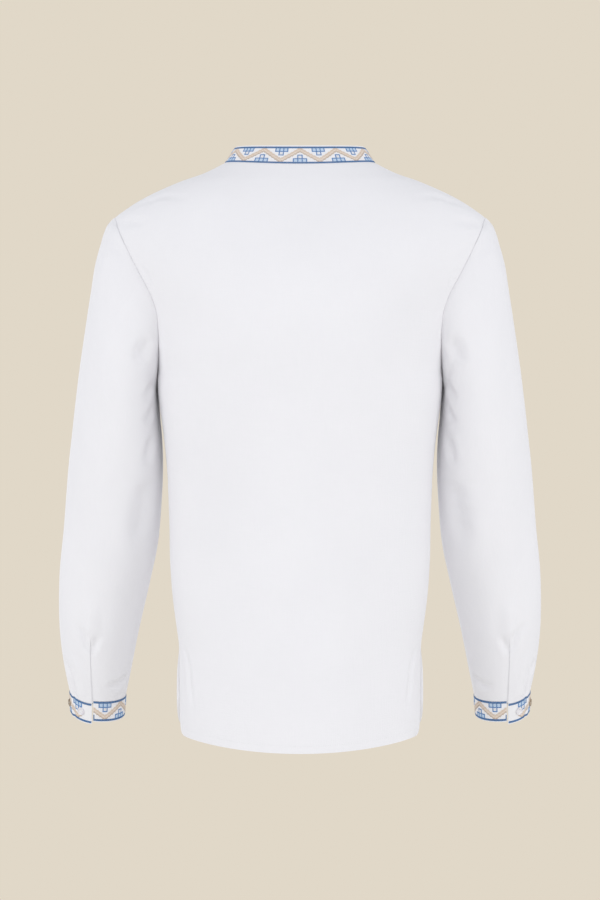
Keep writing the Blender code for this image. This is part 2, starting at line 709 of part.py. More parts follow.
def make_front_buttons(button):
    for number, height in enumerate(FRONT_BUTTON_HEIGHTS, start=1):
        place, normal = front_place(level_at(height, -1), 0.0)
        centre = place + normal * (OVER_BAND_LIFT + BUTTON_STANDOFF)
        lathe_button(f"button_front_{number}", centre, normal, button)


def main():
    remove_everything()
    finishes = {name: plain_material(name) for name in FINISHES}
    linen, band, pearl = (finishes[name] for name in ("white_linen", "embroidered_band", "pearl_button"))
    sleeve, sleeve_normals, placket_levels = make_panels(linen)
    make_placket(placket_levels, band)
    end, end_normals, along = make_sleeves(sleeve, sleeve_normals, linen)
    make_cuffs(end, end_normals, along, band, finishes)
    make_collar(band, pearl)
    make_front_buttons(pearl)


main()
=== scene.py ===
# %% [markdown]
# # An embroidered linen shirt, filled out as if it were worn
#
# The imported model gives the garment's solids: two body panels, two sleeves, a stand collar, two cuffs, the
# two bands of a placket and eight buttons. They are the right size but plain. This lesson dresses them: it
# makes each of them again, the cloth as thin, finely divided sheets on the same form, lays the folds in,
# sews the seams and hems, and works the cross stitch of the collar and the cuffs stitch by stitch.
#
# Everything is in metres with +Z up. The wearer faces -Y and the wearer's left arm is on +X. The origin
# is the middle of the neck opening.

import math

import bmesh
import bpy
import numpy as np
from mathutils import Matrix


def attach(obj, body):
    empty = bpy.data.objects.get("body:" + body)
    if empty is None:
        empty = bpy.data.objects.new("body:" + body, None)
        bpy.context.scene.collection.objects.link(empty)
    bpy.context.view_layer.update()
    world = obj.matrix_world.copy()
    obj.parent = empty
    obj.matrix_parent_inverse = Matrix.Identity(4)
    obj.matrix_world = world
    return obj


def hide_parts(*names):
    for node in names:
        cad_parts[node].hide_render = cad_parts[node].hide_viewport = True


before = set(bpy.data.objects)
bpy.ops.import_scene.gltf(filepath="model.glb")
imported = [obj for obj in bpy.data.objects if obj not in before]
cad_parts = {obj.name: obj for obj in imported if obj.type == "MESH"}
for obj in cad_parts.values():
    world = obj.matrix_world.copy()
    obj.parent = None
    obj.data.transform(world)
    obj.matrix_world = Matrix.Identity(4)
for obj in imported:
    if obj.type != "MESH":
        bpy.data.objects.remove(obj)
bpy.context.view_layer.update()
print("nodes:", ", ".join(sorted(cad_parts)))

# %% [markdown]
# ## The camera
#
# The shirt is seen from straight behind, level with the middle of its back. A long lens from a few metres
# away keeps its two sides almost parallel, as in a catalogue photograph. The sensor is fitted to the tall
# side of the picture, so that the lens follows from the height that the picture covers.

# %% Camera
PICTURE_SIZE = (600, 900)
CAMERA_DISTANCE = 3.4
CAMERA_HEIGHT = -0.373
METRES_PER_PIXEL = 0.00130
CAMERA_TURN = (90.0, 0.0, 180.0)
SENSOR = 36.0

camera_data = bpy.data.cameras.new("camera")
camera_data.sensor_fit = "VERTICAL"
camera_data.sensor_height = SENSOR
camera_data.lens = SENSOR * CAMERA_DISTANCE / (METRES_PER_PIXEL * PICTURE_SIZE[1])
camera = bpy.data.objects.new("camera", camera_data)
camera.location = (0.0, CAMERA_DISTANCE, CAMERA_HEIGHT)
camera.rotation_euler = [math.radians(angle) for angle in CAMERA_TURN]
bpy.context.scene.collection.objects.link(camera)
bpy.context.scene.camera = camera
print(f"lens {camera_data.lens:.1f} mm")

# %% [markdown]
# ## Light, background and floor
#
# White cloth shows its folds only where the light is uneven, but too much of that makes it look grey. The
# real picture is lit almost evenly from all round, and its background is one flat warm tan. The world
# shows that tan to the camera and gives a nearly white light to everything else. Two weak lights beside
# the camera reach into the narrow gap under each arm, two at the sides brighten the sleeves, and the
# others light the front and the shoulders. The floor lies where a wearer would stand.

# %% Light, background and floor
BACKDROP = (0.752, 0.686, 0.578)
SKY_COLOUR = (0.955, 0.968, 1.0)
SKY_STRENGTH = 0.76
FLOOR_HEIGHT = -1.43
FLOOR_RADIUS = 2.6
FLOOR_COLOUR = (0.80, 0.78, 0.74)
FLOOR_STEPS = 96
FLOOR_ROUGHNESS = 0.9
LIGHTS = (
    # name, place, aim, width, height, watts
    ("back_left_light", (0.9, 3.3, 0.1), (0.1, 0.0, -0.45), 1.4, 1.6, 8.0),
    ("back_right_light", (-0.9, 3.3, 0.1), (-0.1, 0.0, -0.45), 1.4, 1.6, 8.0),
    ("side_left_light", (2.7, 1.5, -0.5), (0.25, 0.0, -0.45), 1.4, 1.6, 16.5),
    ("side_right_light", (-2.7, 1.5, -0.5), (-0.25, 0.0, -0.45), 1.4, 1.6, 16.5),
    ("front_left_light", (1.9, -3.0, 0.1), (0.1, 0.0, -0.40), 1.6, 2.2, 18.0),
    ("front_right_light", (-1.3, -3.3, 0.1), (-0.1, 0.0, -0.40), 1.6, 2.2, 10.0),
    ("top_light", (0.0, 0.8, 2.2), (0.0, 0.0, -0.1), 1.6, 1.2, 3.0),
)


def fill_inputs(tree, node, given):
    """Fills a node's inputs by name or number: a socket is linked in, anything else is set."""
    for key, value in given.items():
        if isinstance(value, bpy.types.NodeSocket):
            tree.links.new(value, node.inputs[key])
        else:
            node.inputs[key].default_value = value


def make_node(tree, kind, given=None, **settings):
    """A new node with its own settings and its inputs filled."""
    node = tree.nodes.new(kind)
    for name, value in settings.items():
        setattr(node, name, value)
    fill_inputs(tree, node, given or {})
    return node


bpy.context.scene.view_settings.view_transform = "Standard"
world = bpy.data.worlds.new("studio")
bpy.context.scene.world = world
world.use_nodes = True
sky = world.node_tree
sky.nodes.clear()
sky_light = make_node(sky, "ShaderNodeBackground", {"Color": (*SKY_COLOUR, 1.0), "Strength": SKY_STRENGTH})
sky_seen = make_node(sky, "ShaderNodeBackground", {"Color": (*BACKDROP, 1.0)})
sky_mix = make_node(sky, "ShaderNodeMixShader", {
    "Fac": make_node(sky, "ShaderNodeLightPath").outputs["Is Camera Ray"],
    1: sky_light.outputs["Background"],
    2: sky_seen.outputs["Background"],
})
make_node(sky, "ShaderNodeOutputWorld", {"Surface": sky_mix.outputs["Shader"]})


def aim(place, target):
    """The rotation that points a light's -Z axis from place to target."""
    way = np.subtract(target, place)
    flat = math.hypot(way[0], way[1])
    return math.atan2(flat, -way[2]), 0.0, math.atan2(way[1], way[0]) - math.pi / 2


for light_name, place, target, width, height, watts in LIGHTS:
    light = bpy.data.lights.new(light_name, "AREA")
    light.shape = "RECTANGLE"
    light.size, light.size_y = width, height
    light.energy = watts
    light_object = bpy.data.objects.new(light_name, light)
    light_object.location = place
    light_object.rotation_euler = aim(place, target)
    light_object.visible_camera = False
    bpy.context.scene.collection.objects.link(light_object)


def principled(name, colour, roughness):
    """A new material, its node tree and its shader."""
    material = bpy.data.materials.new(name)
    material.use_nodes = True
    shader = material.node_tree.nodes["Principled BSDF"]
    fill_inputs(material.node_tree, shader, {"Base Color": (*colour, 1.0), "Roughness": roughness})
    return material, material.node_tree, shader


def link_object(name, mesh):
    thing = bpy.data.objects.new(name, mesh)
    bpy.context.scene.collection.objects.link(thing)
    return thing


def finished(name, work, smooth=True):
    """The object that a bmesh becomes."""
    mesh = bpy.data.meshes.new(name)
    work.to_mesh(mesh)
    work.free()
    if smooth:
        mesh.shade_smooth()
    return link_object(name, mesh)


floor_work = bmesh.new()
bmesh.ops.create_circle(floor_work, cap_ends=True, segments=FLOOR_STEPS, radius=FLOOR_RADIUS)
for vert in floor_work.verts:
    vert.co.z = FLOOR_HEIGHT
floor = finished("floor", floor_work, smooth=False)
floor.data.materials.append(principled("floor_paint", FLOOR_COLOUR, FLOOR_ROUGHNESS)[0])
print(f"{len(LIGHTS)} lights, floor at {FLOOR_HEIGHT} m")

# %% [markdown]
# ## The form of the garment
#
# A garment's form is easiest to hold in a few tables. Each row of a table is a station: the body has one
# for every few centimetres of height, the armhole one for every few centimetres of its seam, and the
# sleeve one for every few centimetres of its length. A smooth curve through the rows gives any place in
# between, so the same tables serve the coarse solids and this fine cloth.

# %% Tables of the form
MILLIMETRE = 0.001
MIRROR = (-1, 1, 1)
CLOTH = 0.0010
SEAM_GAP = 0.0004
HEM_HEIGHT = -0.7395
HEM_DROP_BACK = 0.0145
HEM_DROP_FRONT = 0.0075
HEM_CORNER = 0.036
FRONT_SHORTER = 0.007
UNDERARM_HEIGHT = -0.280
UNDERARM_DROPS = (0.003, 0.006)
PLACKET_WIDTH = 0.030
PLACKET_BOTTOM = -0.330

BODY = (
    # height, back_width, front_width, slit_reach, back_depth, front_depth
    (-0.7395, 0.1552, 0.1588, 0.0040, 0.122, -0.128),
    (-0.700, 0.1558, 0.1602, 0.0030, 0.121, -0.127),
    (-0.660, 0.1565, 0.1598, 0.0014, 0.120, -0.126),
    (-0.624, 0.1574, 0.1574, 0.0000, 0.119, -0.125),
    (-0.603, 0.1603, 0.1603, 0.0000, 0.118, -0.123),
    (-0.560, 0.1658, 0.1658, 0.0000, 0.116, -0.120),
    (-0.516, 0.1688, 0.1688, 0.0000, 0.114, -0.117),
    (-0.464, 0.1697, 0.1697, 0.0000, 0.113, -0.116),
    (-0.416, 0.1715, 0.1715, 0.0000, 0.114, -0.118),
    (-0.368, 0.1755, 0.1755, 0.0000, 0.117, -0.123),
    (-0.330, 0.1805, 0.1805, 0.0000, 0.121, -0.129),
    (-0.300, 0.1842, 0.1842, 0.0000, 0.124, -0.134),
    (-0.280, 0.1855, 0.1855, 0.0000, 0.126, -0.137),
)
ARMHOLE = (
    # share, across, height, reach, back_depth, back_height, front_depth, front_height, spread
    (0.000, 0.1855, -0.2800, 0.000, 0.1260, -0.2830, -0.1370, -0.2860, 90),
    (0.076, 0.1835, -0.2680, 0.017, 0.1280, -0.2660, -0.1385, -0.2700, 82),
    (0.180, 0.1820, -0.2470, 0.034, 0.1305, -0.2440, -0.1390, -0.2500, 74),
    (0.300, 0.1820, -0.2200, 0.046, 0.1315, -0.2170, -0.1375, -0.2260, 68),
    (0.405, 0.1845, -0.1950, 0.052, 0.1315, -0.1930, -0.1335, -0.2040, 64),
    (0.494, 0.1915, -0.1746, 0.054, 0.1300, -0.1720, -0.1280, -0.1860, 62),
    (0.610, 0.2050, -0.1490, 0.053, 0.1265, -0.1470, -0.1195, -0.1650, 60),
    (0.750, 0.2205, -0.1186, 0.046, 0.1190, -0.1170, -0.1085, -0.1410, 62),
    (0.890, 0.2340, -0.0890, 0.030, 0.1085, -0.0860, -0.0965, -0.1170, 72),
    (1.000, 0.2415, -0.0705, 0.000, 0.1000, -0.0660, -0.0880, -0.1000, 90),
)
SHOULDER = (
    # share, across, height, back_depth, back_height, front_depth, front_height
    (0.0, 0.2415, -0.0705, 0.1000, -0.0660, -0.0880, -0.1000),
    (0.2, 0.2135, -0.0512, 0.0950, -0.0540, -0.0830, -0.0915),
    (0.4, 0.1845, -0.0368, 0.0890, -0.0430, -0.0780, -0.0830),
    (0.6, 0.1552, -0.0246, 0.0820, -0.0310, -0.0725, -0.0755),
    (0.8, 0.1255, -0.0143, 0.0745, -0.0198, -0.0670, -0.0675),
    (1.0, 0.0975, -0.0005, 0.0660, -0.0082, -0.0620, -0.0600),
)
COLLAR = (
    # share, across, back_depth, front_depth, back_height, side_height, front_height
    (0.0, 0.0975, 0.0660, -0.0620, -0.0082, -0.0005, -0.0600),
    (0.5, 0.0908, 0.0587, -0.0570, 0.0044, 0.0098, -0.0482),
    (1.0, 0.0838, 0.0520, -0.0525, 0.0170, 0.0203, -0.0366),
)
SLEEVE = (
    # share, outer_across, outer_height, inner_across, inner_height, half_depth, forward, armhole_shape
    (0.00, 0.2415, -0.0705, 0.1855, -0.2800, 0.0550, 0.000, 1.00),
    (0.04, 0.2524, -0.0844, 0.1864, -0.2875, 0.0560, 0.000, 0.86),
    (0.08, 0.2592, -0.1060, 0.1870, -0.2940, 0.0570, 0.000, 0.70),
    (0.14, 0.2665, -0.1330, 0.1866, -0.3020, 0.0585, 0.001, 0.48),
    (0.22, 0.2732, -0.1778, 0.1855, -0.3160, 0.0605, 0.003, 0.24),
    (0.30, 0.2806, -0.2287, 0.1839, -0.3339, 0.0620, 0.007, 0.09),
    (0.40, 0.2889, -0.2846, 0.1807, -0.3640, 0.0625, 0.014, 0.02),
    (0.50, 0.2964, -0.3398, 0.1797, -0.3982, 0.0605, 0.022, 0.00),
    (0.60, 0.3039, -0.4002, 0.1816, -0.4386, 0.0580, 0.031, 0.00),
    (0.70, 0.3101, -0.4712, 0.1868, -0.4945, 0.0555, 0.041, 0.00),
    (0.80, 0.3174, -0.5426, 0.1980, -0.5467, 0.0515, 0.052, 0.00),
    (0.90, 0.3174, -0.6200, 0.2151, -0.6190, 0.0460, 0.067, 0.00),
    (0.96, 0.3120, -0.6640, 0.2250, -0.6670, 0.0410, 0.077, 0.00),
    (1.00, 0.3065, -0.6922, 0.2319, -0.6990, 0.0375, 0.084, 0.00),
)


def read_table(table, shares):
    """All columns of a table after its first, on a smooth curve through its rows, for an array of shares."""
    rows = np.array(table, float)
    keys, values = rows[:, 0], rows[:, 1:]
    shares = np.clip(shares, keys[0], keys[-1])
    slopes = np.gradient(values, keys, axis=0)
    low = np.clip(np.searchsorted(keys, shares, side="right") - 1, 0, len(keys) - 2)
    span = (keys[low + 1] - keys[low])[..., None]
    t = (shares - keys[low])[..., None] / span
    start = (1 + 2 * t) * (1 - t) ** 2 * values[low] + t * (1 - t) ** 2 * span * slopes[low]
    end = t * t * (3 - 2 * t) * values[low + 1] + t * t * (t - 1) * span * slopes[low + 1]
    return start + end


print("stations:", len(BODY), len(ARMHOLE), len(SHOULDER), len(COLLAR), len(SLEEVE))

# %% [markdown]
# ## The body panels
#
# A row of a panel is an arc from one side of the body to the other. A level says which row: 0 is the hem,
# 1 the underarm, 2 the shoulder point and 3 the neck. Side 1 is the back and side -1 the front.

# %% Rows and points of the body
QUARTER_TURN = 90.0
NECK_LEVEL = 3.0


def row_shape(side, level):
    """Edge points, middle points and half angles of the rows at an array of levels."""
    level = np.asarray(level, float)
    edge = np.zeros(level.shape + (3,))
    middle = np.zeros(level.shape + (3,))
    spread = np.full(level.shape, QUARTER_TURN)
    back = side > 0
    body, armhole, shoulder = level <= 1, (level > 1) & (level <= 2), level > 2

    height = HEM_HEIGHT + (UNDERARM_HEIGHT - HEM_HEIGHT) * level[body]
    row = read_table(BODY, height)
    drop = (HEM_DROP_BACK if back else HEM_DROP_FRONT) * (1 - level[body])
    drop = drop + UNDERARM_DROPS[0 if back else 1] * level[body]
    edge[body] = np.stack([row[:, 0 if back else 1], side * row[:, 2], height], axis=1)
    middle[body] = np.stack([0 * height, row[:, 3 if back else 4], height - drop], axis=1)

    row = read_table(ARMHOLE, level[armhole] - 1)
    edge[armhole] = np.stack([row[:, 0], side * row[:, 2], row[:, 1]], axis=1)
    middle[armhole] = np.stack([0 * row[:, 0], row[:, 3 if back else 5], row[:, 4 if back else 6]], axis=1)
    spread[armhole] = np.minimum(row[:, 7], QUARTER_TURN)

    row = read_table(SHOULDER, level[shoulder] - 2)
    edge[shoulder] = np.stack([row[:, 0], 0 * row[:, 0], row[:, 1]], axis=1)
    middle[shoulder] = np.stack([0 * row[:, 0], row[:, 2 if back else 4], row[:, 3 if back else 5]], axis=1)
    return edge, middle, np.radians(spread)


def torso_points(side, level, around):
    """Points of the body's surface. around is 0 at the middle and 1 or -1 at an edge."""
    level, around = np.broadcast_arrays(np.asarray(level, float), np.asarray(around, float))
    edge, middle, spread = row_shape(side, level)
    angle = around * spread
    bow = (np.cos(angle) - np.cos(spread)) / (1 - np.cos(spread))
    return np.stack([
        edge[..., 0] * np.sin(angle) / np.sin(spread),
        edge[..., 1] + (middle[..., 1] - edge[..., 1]) * bow,
        edge[..., 2] + (middle[..., 2] - edge[..., 2]) * np.cos(around * np.pi / 2) ** 2,
    ], axis=-1)


def around_at(side, level, across):
    """Where on a row the surface lies this far across from the middle."""
    edge, _, spread = row_shape(side, np.asarray(level, float))
    return np.arcsin(across * np.sin(spread) / edge[..., 0]) / spread


def corner_level(side, around):
    """The level at which a column of a panel starts, so that the hem's corners are round."""
    depth = abs(row_shape(side, np.zeros(1))[1][0, 1])
    inside = np.maximum(HEM_CORNER - (1 - np.abs(around)) * depth * np.pi / 2, 0.0)
    rise = HEM_CORNER - np.sqrt(np.maximum(HEM_CORNER ** 2 - inside ** 2, 0.0))
    return (rise + (FRONT_SHORTER if side < 0 else 0.0)) / (UNDERARM_HEIGHT - HEM_HEIGHT)


CORNER_ROWS, BODY_ROWS, ARMHOLE_ROWS, SHOULDER_ROWS = 18, 128, 64, 26
HALF_COLUMNS = 74
EDGE_CROWDING = 1.35
CORNER_ROOM = 1.1
SHOULDER_REACH = 16
SHOULDER_PASSES = 60
corner_top = (HEM_CORNER + FRONT_SHORTER) * CORNER_ROOM / (UNDERARM_HEIGHT - HEM_HEIGHT)
LEVELS = np.concatenate([
    np.linspace(0, corner_top, CORNER_ROWS + 1),
    np.linspace(corner_top, 1, BODY_ROWS + 1)[1:],
    1 + np.linspace(0, 1, ARMHOLE_ROWS + 1)[1:],
    2 + np.linspace(0, 1, SHOULDER_ROWS + 1)[1:],
])
UNDERARM_ROW = CORNER_ROWS + BODY_ROWS
SHOULDER_ROW = UNDERARM_ROW + ARMHOLE_ROWS


def panel_grid(side, first_across=0.0):
    """The points of the back or the front, rows by columns, from the wearer's right to the left. With
    first_across, two columns run straight up the panel that far from its middle."""
    shares = 1 - (1 - np.linspace(0, 1, HALF_COLUMNS + 1)) ** EDGE_CROWDING
    start = around_at(side, LEVELS, first_across)[:, None]
    around = start + (1 - start) * shares[None]
    lowest = corner_level(side, around)
    level = LEVELS[:, None]
    fitted = np.where(level < corner_top, lowest + (corner_top - lowest) * level / corner_top, level)
    half = torso_points(side, fitted, around)
    mirrored = half[:, ::-1] * MIRROR
    return np.concatenate([mirrored[:, :-1] if first_across == 0 else mirrored, half], axis=1)


def unit(vectors):
    return vectors / np.linalg.norm(vectors, axis=-1, keepdims=True)


def arch(count):
    """A steep rise from 0 to 1 and a fall back to 0, at so many points."""
    return np.sin(np.pi * np.linspace(0, 1, count)) ** 0.5


def grid_normals(grid, centre):
    """Unit normals of a grid of points, pointing away from the centre."""
    normals = unit(np.cross(np.gradient(grid, axis=0), np.gradient(grid, axis=1)))
    return normals if np.sum(normals * (grid - centre)) > 0 else -normals


def softened(grid):
    """Evens out the crease where the shoulder starts, but not the panel's two edges."""
    row, reach = SHOULDER_ROW, SHOULDER_REACH
    free = arch(grid.shape[1])[None, :, None]
    rows = slice(row - reach, row + reach + 1)
    fade = arch(2 * reach + 1)[:, None, None]
    for _ in range(SHOULDER_PASSES):
        even = (grid[row - reach - 1:row + reach] + grid[row - reach + 1:row + reach + 2]) / 2
        grid[rows] += (even - grid[rows]) * 0.5 * free * fade
    return grid


back_form = softened(panel_grid(1))
front_form = softened(panel_grid(-1, PLACKET_WIDTH / 2))
print("back", back_form.shape, "front", front_form.shape)

# %% [markdown]
# ## The sleeves
#
# A sleeve is a tube of rings. The first ring is the armhole seam itself, so the sleeve and the panels
# share their points there, and the last ring is where the cuff is sewn on. Columns are counted from the
# underarm, up the back, over the outer side and down the front again. The cloth starts at the slit later.

# %% Rings of a sleeve
SLIT_SHARE = 7 / 24
SLEEVE_TWIST = 0.157
SLEEVE_TWIST_POWER = 6
RING_COUNT = 196
RING_STEP = 0.02
RING_CROWDING = 0.10


def plain_rings(shares):
    """Elliptical rings of the wearer's left sleeve, from the underarm up the back, over the outer side
    and down the front to the underarm again, and how much of the armhole's shape each still has."""
    row = read_table(SLEEVE, shares)
    outer = np.stack([row[:, 0], -row[:, 5], row[:, 1]], axis=1)
    inner = np.stack([row[:, 2], -row[:, 5], row[:, 3]], axis=1)
    half, middle = (outer - inner) / 2, (outer + inner) / 2
    ahead, behind = read_table(SLEEVE, shares + RING_STEP), read_table(SLEEVE, shares - RING_STEP)
    along = np.stack([
        (ahead[:, 0] + ahead[:, 2] - behind[:, 0] - behind[:, 2]) / 2,
        behind[:, 5] - ahead[:, 5],
        (ahead[:, 1] + ahead[:, 3] - behind[:, 1] - behind[:, 3]) / 2,
    ], axis=1)
    depth = unit(np.cross(unit(half), unit(along)))
    depth = depth * np.copysign(row[:, 4], depth[:, 1])[:, None]
    angle = np.pi * (1 - np.arange(2 * ARMHOLE_ROWS + 1) / ARMHOLE_ROWS)[None]
    angle = angle + SLEEVE_TWIST * shares[:, None] ** SLEEVE_TWIST_POWER
    rings = middle[:, None] + half[:, None] * np.cos(angle)[..., None]
    rings = rings + depth[:, None] * np.sin(angle)[..., None]
    return rings, row[:, 6][:, None, None]


def sleeve_rings(shares):
    """The rings with the first one bent to the armhole seam, and the next ones less and less."""
    rings, armhole_shape = plain_rings(shares)
    armhole = np.concatenate([
        torso_points(1, 1 + np.linspace(0, 1, ARMHOLE_ROWS + 1), 1.0),
        torso_points(-1, 1 + np.linspace(1, 0, ARMHOLE_ROWS + 1)[1:], 1.0),
    ])
    return rings + (armhole - plain_rings(np.zeros(1))[0][0]) * armhole_shape


ring_steps = np.linspace(0, 1, RING_COUNT + 1)
RING_SHARES = ring_steps - RING_CROWDING * np.sin(2 * np.pi * ring_steps) / (2 * np.pi)
sleeve_form = sleeve_rings(RING_SHARES)
sleeve_length = np.linalg.norm(np.diff(sleeve_form[:, :-1].mean(axis=1), axis=0), axis=1).sum()
print("sleeve", sleeve_form.shape, f"{sleeve_length / MILLIMETRE:.0f} mm along its middle")

# %% [markdown]
# ## Where the folds lie
#
# Filled linen keeps a few long soft folds where the arm bends and where the cloth is gathered into a seam.
# Each fold is a short line of picture points, carried onto the form that shows there, with a half width
# and a depth. A positive depth presses the cloth in and a negative one raises it, and a low rim runs along
# both its sides. Those seen from behind are read off the picture, and those of the hidden front are made
# up to match. The same fold lies on both sides of the shirt, so one table serves the left and the right.

# %% From picture points to the cloth
def picture_points(points, side):
    """Where points of the shirt appear in the picture, for a camera behind (1) or in front (-1)."""
    away = CAMERA_DISTANCE - side * points[..., 1]
    size = CAMERA_DISTANCE / (away * METRES_PER_PIXEL)
    across = PICTURE_SIZE[0] / 2 - points[..., 0] * size
    down = PICTURE_SIZE[1] / 2 - (points[..., 2] - CAMERA_HEIGHT) * size
    return np.stack([across, down], axis=-1)


def column_turned(grid, start):
    """A sleeve's grid turned so that its columns start and end at the slit."""
    return np.concatenate([grid[:, start:-1], grid[:, :start + 1]], axis=1)


SLIT_COLUMN = round(SLIT_SHARE * 2 * ARMHOLE_ROWS)
sleeve_axis = sleeve_form[:, :-1].mean(axis=1)[:, None]
sleeve_normals = grid_normals(sleeve_form, sleeve_axis)
back_normals = grid_normals(back_form, back_form * (0, 0, 1))
front_normals = grid_normals(front_form, front_form * (0, 0, 1))
FORMS = {
    # part: its points, its normals
    "back": (back_form, back_normals),
    "front": (front_form, front_normals),
    "sleeve": (sleeve_form, sleeve_normals),
}


LEAST_FACING = 0.05
LINE_STEP = 5


def place_line(part, side, line):
    """Points of the form under a line of picture points, one for every few pixels."""
    points, normals = FORMS[part]
    facing = (normals[..., 1] * side > LEAST_FACING) & (points[..., 0] >= 0)
    shown = points[facing]
    pixels = picture_points(shown, side)
    line = np.array(line, float)
    found = []
    for start, end in zip(line, line[1:]):
        steps = max(int(np.linalg.norm(end - start) / LINE_STEP), 1)
        for step in range(steps):
            found.append(start + (end - start) * step / steps)
    found.append(line[-1])
    nearest = [np.argmin(np.sum((pixels - spot) ** 2, axis=1)) for spot in found]
    return shown[nearest]


SMALLEST_SQUARE = 1e-12


def line_distance(points, line):
    """For each point, how far it is from a line of points and how far along the line it is, 0 to 1."""
    flat = points.reshape(-1, 3)
    best = np.full(len(flat), np.inf)
    along = np.zeros(len(flat))
    total = len(line) - 1
    for index in range(total):
        run = line[index + 1] - line[index]
        size = max(np.dot(run, run), SMALLEST_SQUARE)
        t = np.clip((flat - line[index]) @ run / size, 0, 1)
        distance = np.linalg.norm(flat - line[index] - t[:, None] * run, axis=1)
        closer = distance < best
        best[closer] = distance[closer]
        along[closer] = (index + t[closer]) / total
    return best.reshape(points.shape[:-1]), along.reshape(points.shape[:-1])


def smooth(values):
    values = np.clip(values, 0, 1)
    return values * values * (3 - 2 * values)


def on_left(points):
    """The same points, with those of the wearer's right mirrored to the left."""
    return np.concatenate([np.abs(points[..., :1]), points[..., 1:]], axis=-1)


FOLDS = (
    # part, side, picture line, half width, depth, fade at the start, fade at the end (shares of the line)
    ("back", 1, ((127, 209), (145, 202), (161, 197), (192, 197.6)), 5.0, 1.9, 0.25, 0.50),
    ("back", 1, ((118, 224), (135, 221), (151, 221)), 6.0, 2.0, 0.20, 0.50),
    ("back", 1, ((140, 262), (146, 275), (152, 292)), 3.5, 1.5, 0.40, 0.40),
    ("back", 1, ((183, 640), (189, 668), (193, 718)), 4.5, 2.2, 0.25, 0.40),
    ("sleeve", 1, ((113, 218), (120, 224)), 3.0, 1.5, 0.30, 0.30),
    ("sleeve", 1, ((111, 222), (108, 232)), 6.0, -1.6, 0.40, 0.40),
    ("sleeve", 1, ((108, 232), (114, 246), (124, 262)), 7.0, 2.4, 0.30, 0.50),
    ("sleeve", 1, ((150, 332), (143, 350), (134, 366)), 8.0, 4.6, 0.40, 0.40),
    ("sleeve", 1, ((154, 380), (149, 392), (143, 402)), 6.0, 3.2, 0.40, 0.50),
    ("sleeve", 1, ((154, 406), (149, 416), (143, 426)), 6.0, 3.2, 0.40, 0.50),
    ("sleeve", 1, ((155, 434), (149, 450), (145, 468)), 7.0, 4.0, 0.30, 0.40),
    ("sleeve", 1, ((148, 476), (141, 512), (134, 556)), 13.0, 4.2, 0.25, 0.40),
    ("sleeve", 1, ((98, 410), (96, 470), (93, 535)), 24.0, -2.6, 0.40, 0.40),
    ("sleeve", 1, ((76, 622), (82, 634), (89, 650)), 4.5, 3.4, 0.40, 0.10),
    ("sleeve", 1, ((102, 634), (97, 642), (91, 652)), 4.5, 3.4, 0.40, 0.10),
    ("sleeve", 1, ((90, 592), (91, 614), (91, 640)), 9.0, -2.4, 0.50, 0.20),
    ("sleeve", 1, ((64, 658), (71, 674), (76, 698)), 4.0, 3.8, 0.25, 0.05),
    ("sleeve", 1, ((68, 650), (79, 672), (84, 698)), 6.0, -1.6, 0.30, 0.10),
    ("sleeve", 1, ((127, 676), (117, 684), (104, 688)), 5.0, 3.4, 0.10, 0.50),
    ("sleeve", -1, ((150, 350), (138, 362), (122, 368)), 10.0, 3.0, 0.30, 0.50),
    ("sleeve", -1, ((160, 392), (146, 402), (120, 406)), 11.0, 3.6, 0.20, 0.60),
    ("sleeve", -1, ((160, 436), (142, 448), (108, 446)), 12.0, 4.2, 0.20, 0.60),
    ("sleeve", -1, ((158, 478), (144, 496), (124, 520)), 13.0, 3.4, 0.30, 0.50),
    ("sleeve", -1, ((98, 560), (94, 620), (92, 694)), 8.0, 2.6, 0.50, 0.05),
    ("sleeve", -1, ((80, 640), (80, 670), (82, 698)), 5.0, 2.6, 0.40, 0.05),
    ("sleeve", -1, ((112, 650), (110, 676), (108, 698)), 5.0, 2.6, 0.40, 0.05),
    ("front", -1, ((133, 250), (150, 300), (158, 360)), 16.0, 2.6, 0.40, 0.50),
    ("front", -1, ((180, 330), (190, 430), (200, 540)), 24.0, -2.4, 0.40, 0.40),
)
RIM, RIM_PLACE, RIM_WIDTH = 0.20, 1.8, 0.8


def fold_depths(part, points):
    """How far all folds move the points of one part inwards."""
    depth = np.zeros(points.shape[:-1])
    for fold_part, side, line, half_width, fold_depth, fade_in, fade_out in FOLDS:
        if (fold_part == "front") != (part == "front"):
            continue
        distance, along = line_distance(on_left(points), place_line(fold_part, side, line))
        fade = smooth(along / fade_in) * smooth((1 - along) / fade_out)
        across = distance / (half_width * MILLIMETRE)
        profile = np.exp(-across ** 2) - RIM * np.exp(-((across - RIM_PLACE) / RIM_WIDTH) ** 2)
        depth += fold_depth * MILLIMETRE * fade * profile
    return depth


for fold in FOLDS[:3]:
    print(fold[0], np.round(place_line(fold[0], fold[1], fold[2])[0], 3))

# %% [markdown]
# ## From a grid of points to a sheet of cloth
#
# A sheet is a closed thin shell: the outer grid, an inner grid one thickness inside it, and a narrow rim
# that joins them all round. Each sheet gets its own map in metres along the cloth, so that threads and
# stitches keep their real size and follow the form however it bends.

# %% Shells
def along_grid(grid, axis):
    """Distances along the rows or the columns of a grid, from its first line."""
    steps = np.linalg.norm(np.diff(grid, axis=axis), axis=2)
    start = np.zeros_like(steps.take([0], axis=axis))
    return np.concatenate([start, np.cumsum(steps, axis=axis)], axis=axis)


MAP_START = (0.5, 0.05)
SHARP_ANGLE = 50


def cloth_map(grid):
    """Metres across from the middle column and along from the first row, for each point of a grid."""
    across, along = along_grid(grid, 1), along_grid(grid, 0)
    middle = across[:, across.shape[1] // 2][:, None]
    return np.stack([across - middle, along], axis=-1) + MAP_START


